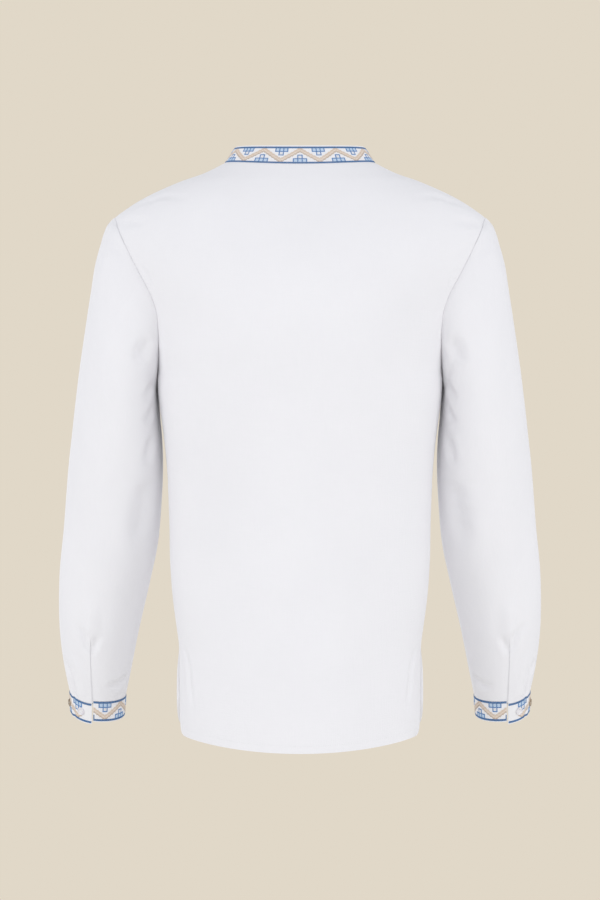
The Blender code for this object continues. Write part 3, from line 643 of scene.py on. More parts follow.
def shell(name, outer, inner, places, keep=None, welded=None):
    """A closed sheet between two grids. keep says which cells there are, and welded on which rows the
    last column is the first one again. places is the cloth's own map of the grid."""
    rows, columns = outer.shape[:2]
    index = np.arange(rows * columns).reshape(rows, columns)
    if welded is not None:
        index[welded, -1] = index[welded, 0]
    cells = np.ones((rows - 1, columns - 1), bool) if keep is None else keep
    corners = [(slice(0, -1), slice(0, -1)), (slice(0, -1), slice(1, None)),
               (slice(1, None), slice(1, None)), (slice(1, None), slice(0, -1))]
    quads = np.stack([index[corner][cells] for corner in corners], axis=1)
    mapped = np.stack([places[corner][cells] for corner in corners], axis=1)
    count = rows * columns
    first = outer.reshape(-1, 3)[quads[0]]
    turn = np.dot(np.cross(first[1] - first[0], first[3] - first[0]),
                  (outer - inner).reshape(-1, 3)[quads[0][0]])
    if turn < 0:
        quads, mapped = quads[:, ::-1], mapped[:, ::-1]
    starts, ends = quads, np.roll(quads, -1, axis=1)
    forward = starts.astype(np.int64) * count + ends
    backward = ends.astype(np.int64) * count + starts
    rim = ~np.isin(forward, backward)
    rim_map = np.stack([mapped[rim], np.roll(mapped, -1, axis=1)[rim]], axis=1)[:, (1, 0, 0, 1)]
    rim_quads = np.stack([ends[rim], starts[rim], starts[rim] + count, ends[rim] + count], axis=1)
    faces = np.concatenate([quads, quads[:, ::-1] + count, rim_quads])
    maps = np.concatenate([mapped, mapped[:, ::-1], rim_map])
    points = np.concatenate([outer.reshape(-1, 3), inner.reshape(-1, 3)])
    used, faces = np.unique(faces, return_inverse=True)
    mesh = bpy.data.meshes.new(name)
    mesh.from_pydata(points[used].tolist(), [], faces.reshape(-1, 4).tolist())
    layer = mesh.uv_layers.new(name="cloth")
    layer.data.foreach_set("uv", maps.reshape(-1).astype(np.float32))
    mesh.shade_smooth()
    mesh.set_sharp_from_angle(angle=math.radians(SHARP_ANGLE))
    return link_object(name, mesh)


def both_sides(name, outer, inner, places, **options):
    """The same sheet for the wearer's left and right. The side goes into the name."""
    return [shell(name.format(side), outer * turn, inner * turn, places, **options)
            for side, turn in (("left", (1, 1, 1)), ("right", MIRROR))]


# %% [markdown]
# ## Seams that pull
#
# A sewn seam is tight, so the cloth dips into it from both sides. The armhole seam belongs to a panel and
# to a sleeve at once, so both use one shared direction there and meet without a step.

# %% Fold and sew the forms
SEAM_DIP = 0.0006
SEAM_DIP_WIDTH = 0.0022
HEM_WIDTH = 0.011
HEM_THICKNESS = 0.0024
HEM_STEP = 0.0030
SLIT_TOP = -0.624


def seam_dip(points, line):
    distance, _ = line_distance(points, line)
    return SEAM_DIP * np.exp(-(distance / SEAM_DIP_WIDTH) ** 2)


def share_armhole(panel_normals, side):
    """Gives a panel's edge and the sleeve's first ring one shared direction along the armhole."""
    rows = np.arange(UNDERARM_ROW, SHOULDER_ROW + 1)
    ring = rows - UNDERARM_ROW if side > 0 else 2 * ARMHOLE_ROWS - (rows - UNDERARM_ROW)
    shared = unit(panel_normals[rows, -1] + sleeve_normals[0, ring])
    panel_normals[rows, -1] = shared
    panel_normals[rows, 0] = shared * MIRROR
    sleeve_normals[0, ring] = shared


share_armhole(back_normals, 1)
share_armhole(front_normals, -1)
for normals in (back_normals, front_normals):
    free = np.r_[0:UNDERARM_ROW, SHOULDER_ROW + 1:len(LEVELS)]
    normals[free, -1] = unit(normals[free, -1] * (1, 0, 1))
    normals[:, 0] = normals[:, -1] * MIRROR
sleeve_normals[:, -1] = sleeve_normals[:, 0]

armhole_line = sleeve_form[0]
side_line = back_form[:UNDERARM_ROW + 1][back_form[:UNDERARM_ROW + 1, -1, 2] > SLIT_TOP, -1]
shoulder_line = back_form[SHOULDER_ROW:, -1]


def folded(part, form, normals, seams):
    depth = fold_depths(part, form)
    for line in seams:
        depth = depth + seam_dip(on_left(form), line)
    return form - normals * depth[..., None]


def pulled_back(grid, edge, neighbour, axis):
    """Moves one line of a grid towards the next by half of the seam's gap."""
    index = [slice(None)] * 3
    beside = [slice(None)] * 3
    index[axis], beside[axis] = edge, neighbour
    way = unit(grid[tuple(beside)] - grid[tuple(index)])
    grid[tuple(index)] += way * SEAM_GAP / 2


back_outer = folded("back", back_form, back_normals, (armhole_line, side_line, shoulder_line))
front_outer = folded("front", front_form, front_normals, (armhole_line, side_line, shoulder_line))
sleeve_outer = folded("sleeve", sleeve_form, sleeve_normals, (armhole_line,))
for grid in (back_outer, front_outer):
    pulled_back(grid, -1, -2, 1)
    pulled_back(grid, 0, 1, 1)
    pulled_back(grid, -1, -2, 0)
pulled_back(sleeve_outer, 0, 1, 0)
print("deepest fold", f"{np.abs(sleeve_outer - sleeve_form).max() / MILLIMETRE:.1f} mm")


# %% The body panels as sheets
def hem_thickness(form):
    """Cloth thickness at each point: more where the hem is turned up along the free edges."""
    open_rows = form[:, -1, 2] <= SLIT_TOP
    edge = np.concatenate([form[open_rows, 0][::-1], form[0], form[open_rows, -1]])
    distance, _ = line_distance(form, edge)
    turned = smooth((HEM_WIDTH - distance) / HEM_STEP + 0.5)
    return CLOTH + (HEM_THICKNESS - CLOTH) * turned


def panel_keep(grid, notch_row):
    keep = np.ones((grid.shape[0] - 1, grid.shape[1] - 1), bool)
    keep[notch_row:, grid.shape[1] // 2 - 1] = False
    return keep


def panel_cloth(name, outer, form, normals, keep=None):
    inner = outer - normals * hem_thickness(form)[..., None]
    return shell(name, outer, inner, cloth_map(form), keep=keep)


notch_row = int(np.argmax(row_shape(-1, LEVELS)[1][:, 2] > PLACKET_BOTTOM))
middle_cell = front_form.shape[1] // 2 - 1
front_outer[notch_row:, middle_cell, 0] -= SEAM_GAP / 2
front_outer[notch_row:, middle_cell + 1, 0] += SEAM_GAP / 2
back_cloth = panel_cloth("back_cloth", back_outer, back_form, back_normals)
front_cloth = panel_cloth("front_cloth", front_outer, front_form, front_normals,
                          keep=panel_keep(front_form, notch_row))
for piece in (back_cloth, front_cloth):
    print(piece.name, len(piece.data.polygons), "faces")

# %% [markdown]
# ## The sleeves and cuffs
#
# Each sleeve opens in a short slit above the cuff. The button end of the cuff hangs a little lower and
# further out than the end that closes over it. The cuffs are two layers of cloth with a stiffener, so
# they are thicker and crowned, with rounded folded edges.

# %% Sleeves and cuffs as sheets
CUFF_HEIGHT = 0.029
CUFF_TAPER = 0.045
CUFF_THICKNESS = 0.0022
CUFF_ROWS = 14
BUTTON_SIDE = 5 / 24
BUTTON_END_LIFT = 0.0012
BUTTON_END_DROP = 0.0035
SLIT_SPREAD = 0.0016
SLIT_START = 22 / 25
SLIT_CURVE = 0.7
CUFF_CROWN = 0.0005
ARM_RINGS = 20

sleeve_grid = column_turned(sleeve_outer, SLIT_COLUMN)
sleeve_grid_normals = column_turned(sleeve_normals, SLIT_COLUMN)
sleeve_along = unit(sleeve_grid[-1].mean(axis=0) - sleeve_grid[-ARM_RINGS].mean(axis=0))
opening = smooth((RING_SHARES - SLIT_START) / (1 - SLIT_START)) ** SLIT_CURVE
open_rings = RING_SHARES > SLIT_START
over_slit = unit(sleeve_grid[:, 1] - sleeve_grid[:, -2])
spread = over_slit * (SLIT_SPREAD / 2 * opening)[:, None]
columns_of_button_side = int(BUTTON_SIDE * (sleeve_grid.shape[1] - 1))
fade = np.cos(np.arange(columns_of_button_side) / columns_of_button_side * np.pi / 2) ** 2
drop = sleeve_along * BUTTON_END_DROP + sleeve_grid_normals[:, :columns_of_button_side] * BUTTON_END_LIFT
sleeve_grid[:, :columns_of_button_side] += drop * (opening[:, None] * fade[None])[..., None]
sleeve_grid[:, 0] += spread
sleeve_grid[:, -1] -= np.where(open_rings[:, None], spread, 0)
sleeve_grid[~open_rings, -1] = sleeve_grid[~open_rings, 0]
cuff_seam = sleeve_grid[-1].copy()
cuff_normals = sleeve_grid_normals[-1].copy()
pulled_back(sleeve_grid, -1, -2, 0)

sleeve_inner = sleeve_grid - sleeve_grid_normals * CLOTH
sleeve_places = cloth_map(column_turned(sleeve_form, SLIT_COLUMN))
sleeve_cloths = both_sides("sleeve_{}_cloth", sleeve_grid, sleeve_inner, sleeve_places, welded=~open_rings)

cuff_middle = cuff_seam.mean(axis=0)
cuff_shares = np.linspace(0, 1, CUFF_ROWS + 1)
cuff_grid = np.array([
    cuff_middle + (cuff_seam - cuff_middle) * (1 - CUFF_TAPER * share) + sleeve_along * CUFF_HEIGHT * share
    for share in cuff_shares
])
cuff_grid = cuff_grid + cuff_normals * (CUFF_CROWN * np.sin(np.pi * cuff_shares))[:, None, None]
pulled_back(cuff_grid, 0, 1, 0)
cuff_inner = cuff_grid - cuff_normals * CUFF_THICKNESS
cuff_cloths = both_sides("cuff_{}_cloth", cuff_grid, cuff_inner, cloth_map(cuff_grid))
for piece in sleeve_cloths + cuff_cloths:
    print(piece.name, len(piece.data.polygons), "faces")

# %% [markdown]
# ## What lies behind the slits
#
# No slit shows straight into the shirt. The front panel has a narrow facing along each side slit and
# round its corner, which reaches to the edge of the back and turns in behind it, and a strip of linen
# lies under each sleeve slit. Both are small sheets of their own, made from the lines of the form that
# they lie along.

# %% Slit facings and strips
FACING_LINE = (
    # how far in from the front's edge, how much of the way to the back's edge, and which way is outwards
    (0.0003, 0.0, (1.0, 0.1, 0.0)),
    (0.0003, 0.5, (1.0, 0.1, 0.0)),
    (0.0004, 0.9, (1.0, 0.6, 0.0)),
    (0.0009, 1.0, (0.4, 1.0, 0.0)),
    (0.0030, 1.0, (0.0, 1.0, 0.0)),
    (0.0060, 1.0, (0.0, 1.0, 0.0)),
    (0.0100, 1.0, (0.0, 1.0, 0.0)),
)
FACING_GAP = 0.0009
FACING_FADE = 0.016
FACING_LOWEST = -0.7325
FACING_TOP = SLIT_TOP + 0.002
STRIP_LINE = (
    # column of the finished sleeve, counted from the slit, and how deep below it
    (-4, 0.0017), (-3, 0.0014), (-2, 0.0011), (0, 0.0010), (2, 0.0013), (4, 0.0017),
)
STRIP_THICKNESS = 0.0007
STRIP_START = SLIT_START - 0.012

facing_rows = np.flatnonzero(front_form[:, -1, 2] <= FACING_TOP)
corner_columns = np.flatnonzero((front_form[0, :, 2] > FACING_LOWEST) & (front_form[0, :, 0] > 0))[:-1]
front_edge = np.concatenate([front_outer[0, corner_columns], front_outer[facing_rows, -1]])
slit_reach = read_table(BODY, front_edge[:, 2])[:, 2]
to_back = 2 * slit_reach - FACING_GAP
to_back = to_back * smooth(1 - (front_edge[len(corner_columns), 2] - front_edge[:, 2]) / FACING_FADE)
inward, forward, facing_out = (np.array(values) for values in zip(*FACING_LINE))
facing_out = unit(facing_out)
facing_grid = front_edge[:, None] - inward[None, :, None] * np.array((1.0, 0, 0))
facing_grid = facing_grid + (to_back[:, None] * forward[None])[..., None] * np.array((0, 1.0, 0))
facing_inner = facing_grid - facing_out[None] * STRIP_THICKNESS
slit_facings = both_sides("side_slit_{}_facing", facing_grid, facing_inner, cloth_map(facing_grid))

strip_rows = np.flatnonzero(RING_SHARES > STRIP_START)
strip_columns, strip_depths = (np.array(values) for values in zip(*STRIP_LINE))
strip_normals = sleeve_grid_normals[strip_rows][:, strip_columns]
strip_grid = sleeve_grid[strip_rows][:, strip_columns] - strip_normals * strip_depths[None, :, None]
strip_inner = strip_grid - strip_normals * STRIP_THICKNESS
slit_strips = both_sides("sleeve_slit_{}_strip", strip_grid, strip_inner, cloth_map(strip_grid))
for name, grid in (("facing", facing_grid), ("strip", strip_grid)):
    print(name, f"{along_grid(grid, 1)[-1, -1] / MILLIMETRE:.1f} mm wide at its top or its cuff end,",
          f"{along_grid(grid, 0)[-1, 0] / MILLIMETRE:.0f} mm long")

# %% [markdown]
# ## The collar
#
# The stand collar is one straight band that closes over itself at the front. Its two ends pass each other
# within the width of the placket, so the band steps in at one end and out at the other, each time by a
# little more than half of its thickness.

# %% Collar as a sheet
COLLAR_THICKNESS = 0.0012
COLLAR_ROWS = 14
COLLAR_STEP = 0.0016
LAP_POINTS = 13
LAP_FADE = 20
COLLAR_BACK_POINTS = 181
COLLAR_FRONT_POINTS = 82


def collar_points(share, around, side):
    row = read_table(COLLAR, np.array([share]))[0]
    across, back_depth, front_depth, back_height, side_height, front_height = row
    depth = np.where(side > 0, back_depth, front_depth)
    height = np.where(side > 0, back_height, front_height)
    angle = around * np.pi / 2
    return np.stack([
        across * np.sin(angle),
        depth * np.cos(angle),
        side_height + (height - side_height) * np.cos(angle) ** 2,
    ], axis=1)


def collar_grid():
    back = np.linspace(-1, 1, COLLAR_BACK_POINTS)
    start = float(around_at(-1, np.array([NECK_LEVEL]), PLACKET_WIDTH / 2)[0])
    front = np.linspace(start, 1, COLLAR_FRONT_POINTS)
    rows = []
    for share in np.linspace(0, 1, COLLAR_ROWS + 1):
        across = read_table(COLLAR, np.array([share]))[0, 0]
        lap = math.asin(PLACKET_WIDTH / 2 / across) / (math.pi / 2)
        lap_line = np.linspace(lap, -lap, LAP_POINTS)
        around = np.concatenate([lap_line, -front[1:-1], back, front[::-1][1:-1], lap_line])
        in_front = LAP_POINTS + len(front) - 2
        side = np.ones(len(around))
        side[:in_front] = side[-in_front:] = -1
        points = collar_points(share, around, side)
        count = np.arange(len(points))
        inside = np.clip(1 - count / LAP_FADE, 0, 1)
        outside = np.clip(1 - (len(points) - 1 - count) / LAP_FADE, 0, 1)
        outward = unit(points * (1, 1, 0))
        rows.append(points + outward * ((outside - inside) * COLLAR_STEP / 2)[:, None])
    return np.array(rows)


collar_outer = collar_grid()
collar_normals = grid_normals(collar_outer, collar_outer * (0, 0, 1))
pulled_back(collar_outer, 0, 1, 0)
collar_cloth = shell("collar_cloth", collar_outer, collar_outer - collar_normals * COLLAR_THICKNESS,
                     cloth_map(collar_outer))
collar_height = along_grid(collar_outer, 0)[-1, collar_outer.shape[1] // 2]
print("collar", f"{along_grid(collar_outer, 1)[COLLAR_ROWS // 2, -1] / MILLIMETRE:.0f} mm round",
      f"{collar_height / MILLIMETRE:.1f} mm high")

# %% [markdown]
# ## The placket
#
# Two bands close the front from the collar to the chest, one over the other. The upper one lies between
# the edges of the notch in the front panel, and the lower one reaches under both edges.

# %% Placket bands as sheets
OVER_LIFT = 0.0006
UNDER_LIFT = -0.0020
UNDER_LAP = 0.006
UNDER_MARGIN = 0.003
BAND_TOP_GAP = 0.014
BAND_ROWS, BAND_COLUMNS = 90, 13
PLACKET_THICKNESS = 0.0012
PLACKET_CROWN = 0.0003
PLACKET_START = 0.001
SURFACE_STEP = 0.01


def front_places(level, across):
    """Points of the front's surface this far across from its middle, and their unit normals."""
    around = around_at(-1, level, across)
    here = torso_points(-1, level, around)
    over = torso_points(-1, level, around + SURFACE_STEP) - here
    above = torso_points(-1, np.minimum(level + SURFACE_STEP, NECK_LEVEL), around)
    up = above - torso_points(-1, level - SURFACE_STEP, around)
    return here, unit(np.cross(over, up))


def placket_band(name, from_across, to_across, lift):
    levels = np.linspace(LEVELS[notch_row] + PLACKET_START, NECK_LEVEL - BAND_TOP_GAP, BAND_ROWS)[:, None]
    across = np.linspace(from_across, to_across, BAND_COLUMNS)[None]
    levels, across = np.broadcast_arrays(levels, across)
    here, out = front_places(levels, across)
    if out[0, 0, 1] > 0:
        out = -out
    crown = PLACKET_CROWN * arch(BAND_COLUMNS)
    outer = here + out * (lift + crown[None, :, None])
    return shell(name, outer, here + out * (lift - PLACKET_THICKNESS), cloth_map(outer)), outer, out


band_half = PLACKET_WIDTH / 2 - SEAM_GAP
over_cloth, over_grid, over_out = placket_band("placket_over_cloth", -band_half, band_half, OVER_LIFT)
under_cloth = placket_band("placket_under_cloth", -PLACKET_WIDTH / 2 - UNDER_LAP,
                           PLACKET_WIDTH / 2 + UNDER_MARGIN, UNDER_LIFT)[0]
print("placket", f"{along_grid(over_grid, 0)[-1, 0] / MILLIMETRE:.0f} mm long")

# %% [markdown]
# ## The buttons
#
# Small round buttons, turned with a raised rim round a shallow dish, and sewn on with a cross of thread.
# A profile spun round the axis gives the turned part. The cross is sewn later, with all other stitches,
# so each button notes where its dish is.

# %% Buttons
BUTTON_PROFILE = (
    # radius, height in millimetres
    (0.00, 1.30), (2.60, 1.32), (3.20, 1.50), (3.70, 1.95), (4.20, 2.20), (4.70, 2.10),
    (5.05, 1.70), (5.20, 1.15), (5.10, 0.60), (4.60, 0.15), (4.20, 0.00), (0.00, 0.00),
)
BUTTON_STEPS = 40
DISH_HEIGHT = 1.32
button_dishes = {}


def turned_button(name):
    """A button in the place of a node: its middle and axis are read off the node's own mesh."""
    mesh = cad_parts[name].data
    points = np.array([vert.co for vert in mesh.vertices])
    middle = points.mean(axis=0)
    _, _, axes = np.linalg.svd(points - middle)
    axis = axes[2]
    inside = np.array((0.0, 0.0, middle[2]))
    if "cuff" in name:
        inside = cuff_middle * (math.copysign(1, middle[0]), 1, 1) + sleeve_along * CUFF_HEIGHT / 2
    if np.dot(axis, middle - inside) < 0:
        axis = -axis
    base = middle + axis * ((points - middle) @ axis).min()
    side = unit(np.cross((0, 0, 1), axis))
    over = np.cross(axis, side)
    button_dishes[name] = (base + axis * DISH_HEIGHT * MILLIMETRE, side, axis)
    angle = np.arange(BUTTON_STEPS) * 2 * np.pi / BUTTON_STEPS
    work = bmesh.new()
    rings = []
    for radius, height in BUTTON_PROFILE:
        centre = base + axis * height * MILLIMETRE
        if radius == 0:
            rings.append([work.verts.new(centre)])
            continue
        ring = [work.verts.new(centre + (side * math.cos(a) + over * math.sin(a)) * radius * MILLIMETRE)
                for a in angle]
        rings.append(ring)
    for first, second in zip(rings, rings[1:]):
        for step in range(BUTTON_STEPS):
            following = (step + 1) % BUTTON_STEPS
            corners = [first[step % len(first)], first[following % len(first)],
                       second[following % len(second)], second[step % len(second)]]
            corners = list(dict.fromkeys(corners))
            work.faces.new(corners)
    bmesh.ops.recalc_face_normals(work, faces=work.faces)
    return finished(name + "_turned", work)


button_names = sorted(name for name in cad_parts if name.startswith("button"))
buttons = {name: turned_button(name) for name in button_names}
print(len(buttons), "buttons")

# %% [markdown]
# ## Linen
#
# Linen is a plain weave of uneven threads. Seen from a metre away its weave is only a faint grain, but
# the thick places in its threads, called slubs, show as short soft streaks along both directions. Both
# are one shader node group, because the body and the bands share it.

# %% Weave group and linen material
def group_tree(name, kind, inputs, outputs):
    """A node group, Shader or Geometry. Each of its inputs and outputs is a name and a socket type."""
    tree = bpy.data.node_groups.new(name, kind + "NodeTree")
    for in_out, sockets in (("INPUT", inputs), ("OUTPUT", outputs)):
        for socket_name, socket_kind in sockets:
            tree.interface.new_socket(socket_name, in_out=in_out, socket_type="NodeSocket" + socket_kind)
    return tree, tree.nodes.new("NodeGroupInput"), tree.nodes.new("NodeGroupOutput")


def math_node(tree, operation, first, second):
    """The output of a Math node whose inputs are sockets or numbers."""
    return make_node(tree, "ShaderNodeMath", {0: first, 1: second}, operation=operation).outputs[0]


def streak_noise(tree, place, scale, detail):
    """Noise that is stretched along one direction: scale gives its density across and along."""
    mapping = make_node(tree, "ShaderNodeMapping", {"Vector": place, "Scale": scale})
    given = {"Vector": mapping.outputs["Vector"], "Scale": 1.0, "Detail": detail}
    return make_node(tree, "ShaderNodeTexNoise", given).outputs["Fac"]


def crossed_noise(tree, place, across, along, detail):
    """Streaks along the warp and along the weft, added up."""
    warp = streak_noise(tree, place, (across, along, 1.0), detail)
    weft = streak_noise(tree, place, (along, across, 1.0), detail)
    return math_node(tree, "ADD", warp, weft)


SLUB_SCALES, SLUB_DETAIL, SLUB_DEPTH, SLUB_SHADE = (900.0, 34.0), 2.0, 0.6, 0.35
GRAIN_SCALES, GRAIN_DETAIL, GRAIN_DEPTH = (2600.0, 160.0), 1.0, 0.4
PATCH_SCALE, PATCH_DETAIL, PATCH_SHADE = 9.0, 3.0, 0.5

weave, weave_in, weave_out = group_tree(
    "linen_weave", "Shader",
    [("Place", "Vector"), ("Slub Depth", "Float")],
    [("Height", "Float"), ("Shade", "Float")],
)
weave.interface.items_tree["Slub Depth"].default_value = SLUB_DEPTH
weave_place = weave_in.outputs["Place"]
slubs = crossed_noise(weave, weave_place, *SLUB_SCALES, SLUB_DETAIL)
slubs = math_node(weave, "MULTIPLY", slubs, weave_in.outputs["Slub Depth"])
grain = crossed_noise(weave, weave_place, *GRAIN_SCALES, GRAIN_DETAIL)
grain = math_node(weave, "MULTIPLY", grain, GRAIN_DEPTH)
patches = streak_noise(weave, weave_place, (PATCH_SCALE, PATCH_SCALE, 1.0), PATCH_DETAIL)
shade = math_node(weave, "ADD", math_node(weave, "MULTIPLY", slubs, SLUB_SHADE),
                  math_node(weave, "MULTIPLY", patches, PATCH_SHADE))
fill_inputs(weave, weave_out, {"Height": math_node(weave, "ADD", slubs, grain), "Shade": shade})


def blended_colour(tree, factor, first, second):
    """A colour between two, by a factor that changes over the surface."""
    given = {"Factor": factor, "A": (*first, 1.0), "B": (*second, 1.0)}
    return make_node(tree, "ShaderNodeMix", given, data_type="RGBA").outputs["Result"]


def linen(name, light_colour, dark_colour, roughness):
    """A linen material: its shade and its height both come from the weave group."""
    material, tree, shader = principled(name, light_colour, roughness)
    place = make_node(tree, "ShaderNodeUVMap", uv_map="cloth")
    threads = make_node(tree, "ShaderNodeGroup", {"Place": place.outputs["UV"]}, node_tree=weave)
    darkest, lightest = SHADE_RANGE
    given = {"Value": threads.outputs["Shade"], "From Min": darkest, "From Max": lightest}
    ramp = make_node(tree, "ShaderNodeMapRange", given)
    given = {"Height": threads.outputs["Height"], "Distance": WEAVE_RELIEF, "Strength": WEAVE_STRENGTH}
    fill_inputs(tree, shader, {
        "Base Color": blended_colour(tree, ramp.outputs["Result"], dark_colour, light_colour),
        "Normal": make_node(tree, "ShaderNodeBump", given).outputs["Normal"],
        "Sheen Weight": LINEN_SHEEN,
        "Specular IOR Level": LINEN_GLOSS,
    })
    return material


SHADE_RANGE = (0.35, 0.80)
WEAVE_RELIEF, WEAVE_STRENGTH = 0.0004, 0.5
LINEN_SHEEN, LINEN_GLOSS = 0.08, 0.25
CLOTH_LOOK = {"light_colour": (0.872, 0.864, 0.884), "dark_colour": (0.832, 0.825, 0.846), "roughness": 0.88}
BAND_LOOK = {"light_colour": (0.872, 0.866, 0.880), "dark_colour": (0.832, 0.827, 0.842), "roughness": 0.86}
white_linen = linen("white_linen", **CLOTH_LOOK)
band_linen = linen("band_linen", **BAND_LOOK)
print("linen group sockets:", [socket.name for socket in weave.interface.items_tree])

# %% [markdown]
# ## A button painted brown for shade, and pearl
#
# One button of each cuff is painted a warm brown with pale clouds drawn out along one direction. This is
# painted shade:
# it stands in for the shade on a pearl button seen edge-on at the cuff's side. The others are pearly shell,
# almost as white as the linen, with faint lavender and cream clouds. Both are polished and clouded, so one
# function makes both from its two cloud colours.

# %% Painted shade button and pearl materials
def layered(name, dark, pale, scale, roughness, coat):
    """A polished material whose clouds run from one colour to the other."""
    material, tree, shader = principled(name, pale, roughness)
    place = make_node(tree, "ShaderNodeTexCoord")
    clouds = streak_noise(tree, place.outputs["Object"], scale, CLOUD_DETAIL)
    ramp = make_node(tree, "ShaderNodeValToRGB", {"Fac": clouds})
    for element, position, colour in zip(ramp.color_ramp.elements, CLOUD_RANGE, (dark, pale)):
        element.position = position
        element.color = (*colour, 1.0)
    fill_inputs(tree, shader, {"Base Color": ramp.outputs["Color"], "Coat Weight": coat,
                               "Coat Roughness": COAT_ROUGHNESS})
    return material


CLOUD_DETAIL = 3.0
CLOUD_RANGE = (0.35, 0.68)
COAT_ROUGHNESS = 0.15
# The dark brown below is painted shade for a button seen edge-on, not the button's own colour.
PAINTED_SHADE_BROWN_LOOK = {"dark": (0.10, 0.065, 0.035), "pale": (0.46, 0.36, 0.25), "scale": (420.0, 300.0, 160.0),
             "roughness": 0.34, "coat": 0.2}
PEARL_LOOK = {"dark": (0.70, 0.67, 0.74), "pale": (0.84, 0.83, 0.82), "scale": (260.0, 180.0, 320.0),
              "roughness": 0.28, "coat": 0.3}
# The first material is painted shade: brown in place of a shaded pearl button.
painted_shade_brown = layered("painted_shade_brown", **PAINTED_SHADE_BROWN_LOOK)
pearl = layered("pearl", **PEARL_LOOK)
print("ready:", painted_shade_brown.name, pearl.name)

# %% [markdown]
# ## The stitches
#
# Embroidery and sewing are the same small shape repeated many times. One Geometry Nodes tree serves both:
# it puts a stitch on every point of a mesh, turns it by two directions stored on the points, and gives it
# the thread that the point names. A cross stitch is two short ridges of thread, one over the other, and
# a sewing stitch is a single ridge.

# %% A tree that sews a stitch on every point
THREAD_COLOURS = (
    # name, colour (linear)
    ("blue_thread", (0.070, 0.180, 0.390)),
    ("bright_blue_thread", (0.085, 0.240, 0.540)),
    ("pale_blue_thread", (0.600, 0.740, 0.900)),
    ("beige_thread", (0.780, 0.640, 0.520)),
    ("cream_thread", (0.880, 0.780, 0.690)),
    ("tan_thread", (0.580, 0.470, 0.380)),
    ("white_thread", (0.860, 0.860, 0.875)),
)
BLUE, BRIGHT_BLUE, PALE_BLUE, BEIGE, CREAM, TAN, WHITE = range(len(THREAD_COLOURS))
THREAD_ROUGHNESS, THREAD_SHEEN = 0.62, 0.15
TWIST_SCALE, TWIST_DETAIL = (1500.0, 1500.0, 1500.0), 2.0
DYE_RANGE = (0.80, 1.12)


def thread_material(name, colour):
    """Matt cotton: its dye is a little uneven, and it has a soft sheen."""
    material, tree, shader = principled(name, colour, THREAD_ROUGHNESS)
    place = make_node(tree, "ShaderNodeTexCoord")
    twist = streak_noise(tree, place.outputs["Object"], TWIST_SCALE, TWIST_DETAIL)
    dark, bright = ([min(value * share, 1.0) for value in colour] for share in DYE_RANGE)
    fill_inputs(tree, shader, {"Base Color": blended_colour(tree, twist, dark, bright),
                               "Sheen Weight": THREAD_SHEEN})
    return material


threads = [thread_material(name, colour) for name, colour in THREAD_COLOURS]

# Each is a share of the way along the thread and the rise there as a share of its height.
THREAD_RISE = ((0.0, -0.25), (0.25, 0.75), (0.75, 0.75), (1.0, -0.25))
THREAD_CROWN, THREAD_SINK = 0.25, 0.15


def ridge(work, start, end, half_width, height, lift):
    """A short half-round thread from start to end, pinned down at both ends."""
    way = np.subtract(end, start)
    across = np.array((-way[1], way[0])) / math.hypot(*way) * half_width
    lines = []
    for share, rise in THREAD_RISE:
        middle = np.add(start, way * share)
        top = lift + height * rise if rise > 0 else height * rise
        foot = min(top, 0) - THREAD_SINK * height
        lines.append([work.verts.new((*(middle - across), foot)),
                      work.verts.new((*middle, top + THREAD_CROWN * height)),
                      work.verts.new((*(middle + across), foot))])
    for first, second in zip(lines, lines[1:]):
        for side in (0, 1):
            work.faces.new((first[side], first[side + 1], second[side + 1], second[side]))


def stitch_shape(name, ridges):
    work = bmesh.new()
    for values in ridges:
        ridge(work, *values)
    bmesh.ops.recalc_face_normals(work, faces=work.faces)
    if sum(face.normal.z for face in work.faces) < 0:
        bmesh.ops.reverse_faces(work, faces=work.faces)
    return finished(name, work)


CROSS_STITCH = (
    # start, end, half width, height, lift, all as shares of the stitch's size
    ((-0.47, -0.47), (0.47, 0.47), 0.30, 0.22, 0.00),
    ((-0.47, 0.47), (0.47, -0.47), 0.30, 0.22, 0.16),
)
RUNNING_STITCH = (((-0.5, 0.0), (0.5, 0.0), 0.10, 0.12, 0.0),)
cross_shape = stitch_shape("cross_stitch_shape", CROSS_STITCH)
running_shape = stitch_shape("running_stitch_shape", RUNNING_STITCH)


def stitch_tree():
    """Points and a stitch go in, and a mesh of stitches with their threads comes out."""
    inputs = [("Points", "Geometry"), ("Stitch", "Object"), ("Size", "Vector")]
    inputs += [(name, "Material") for name, _ in THREAD_COLOURS]
    tree, source, result = group_tree("sewn_stitches", "Geometry", inputs, [("Stitches", "Geometry")])

    def stored(name, kind):
        node = make_node(tree, "GeometryNodeInputNamedAttribute", {"Name": name}, data_type=kind)
        return node.outputs["Attribute"]

    turn = make_node(tree, "FunctionNodeAxesToRotation", {
        "Primary Axis": stored("outward", "FLOAT_VECTOR"),
        "Secondary Axis": stored("along", "FLOAT_VECTOR"),
    }, primary_axis="Z", secondary_axis="X")
    shape = make_node(tree, "GeometryNodeObjectInfo", {"Object": source.outputs["Stitch"]})
    place = make_node(tree, "GeometryNodeInstanceOnPoints", {
        "Points": source.outputs["Points"],
        "Instance": shape.outputs["Geometry"],
        "Rotation": turn.outputs["Rotation"],
        "Scale": source.outputs["Size"],
    })
    real = make_node(tree, "GeometryNodeRealizeInstances", {"Geometry": place.outputs["Instances"]})
    last = real.outputs["Geometry"]
    for number, (name, _) in enumerate(THREAD_COLOURS):
        same = make_node(tree, "FunctionNodeCompare", {"A": stored("thread", "INT"), "B": number},
                         data_type="INT", operation="EQUAL")
        paint = make_node(tree, "GeometryNodeSetMaterial", {
            "Geometry": last,
            "Selection": same.outputs["Result"],
            "Material": source.outputs[name],
        })
        last = paint.outputs["Geometry"]
    fill_inputs(tree, result, {"Stitches": last})
    return tree


stitches = stitch_tree()


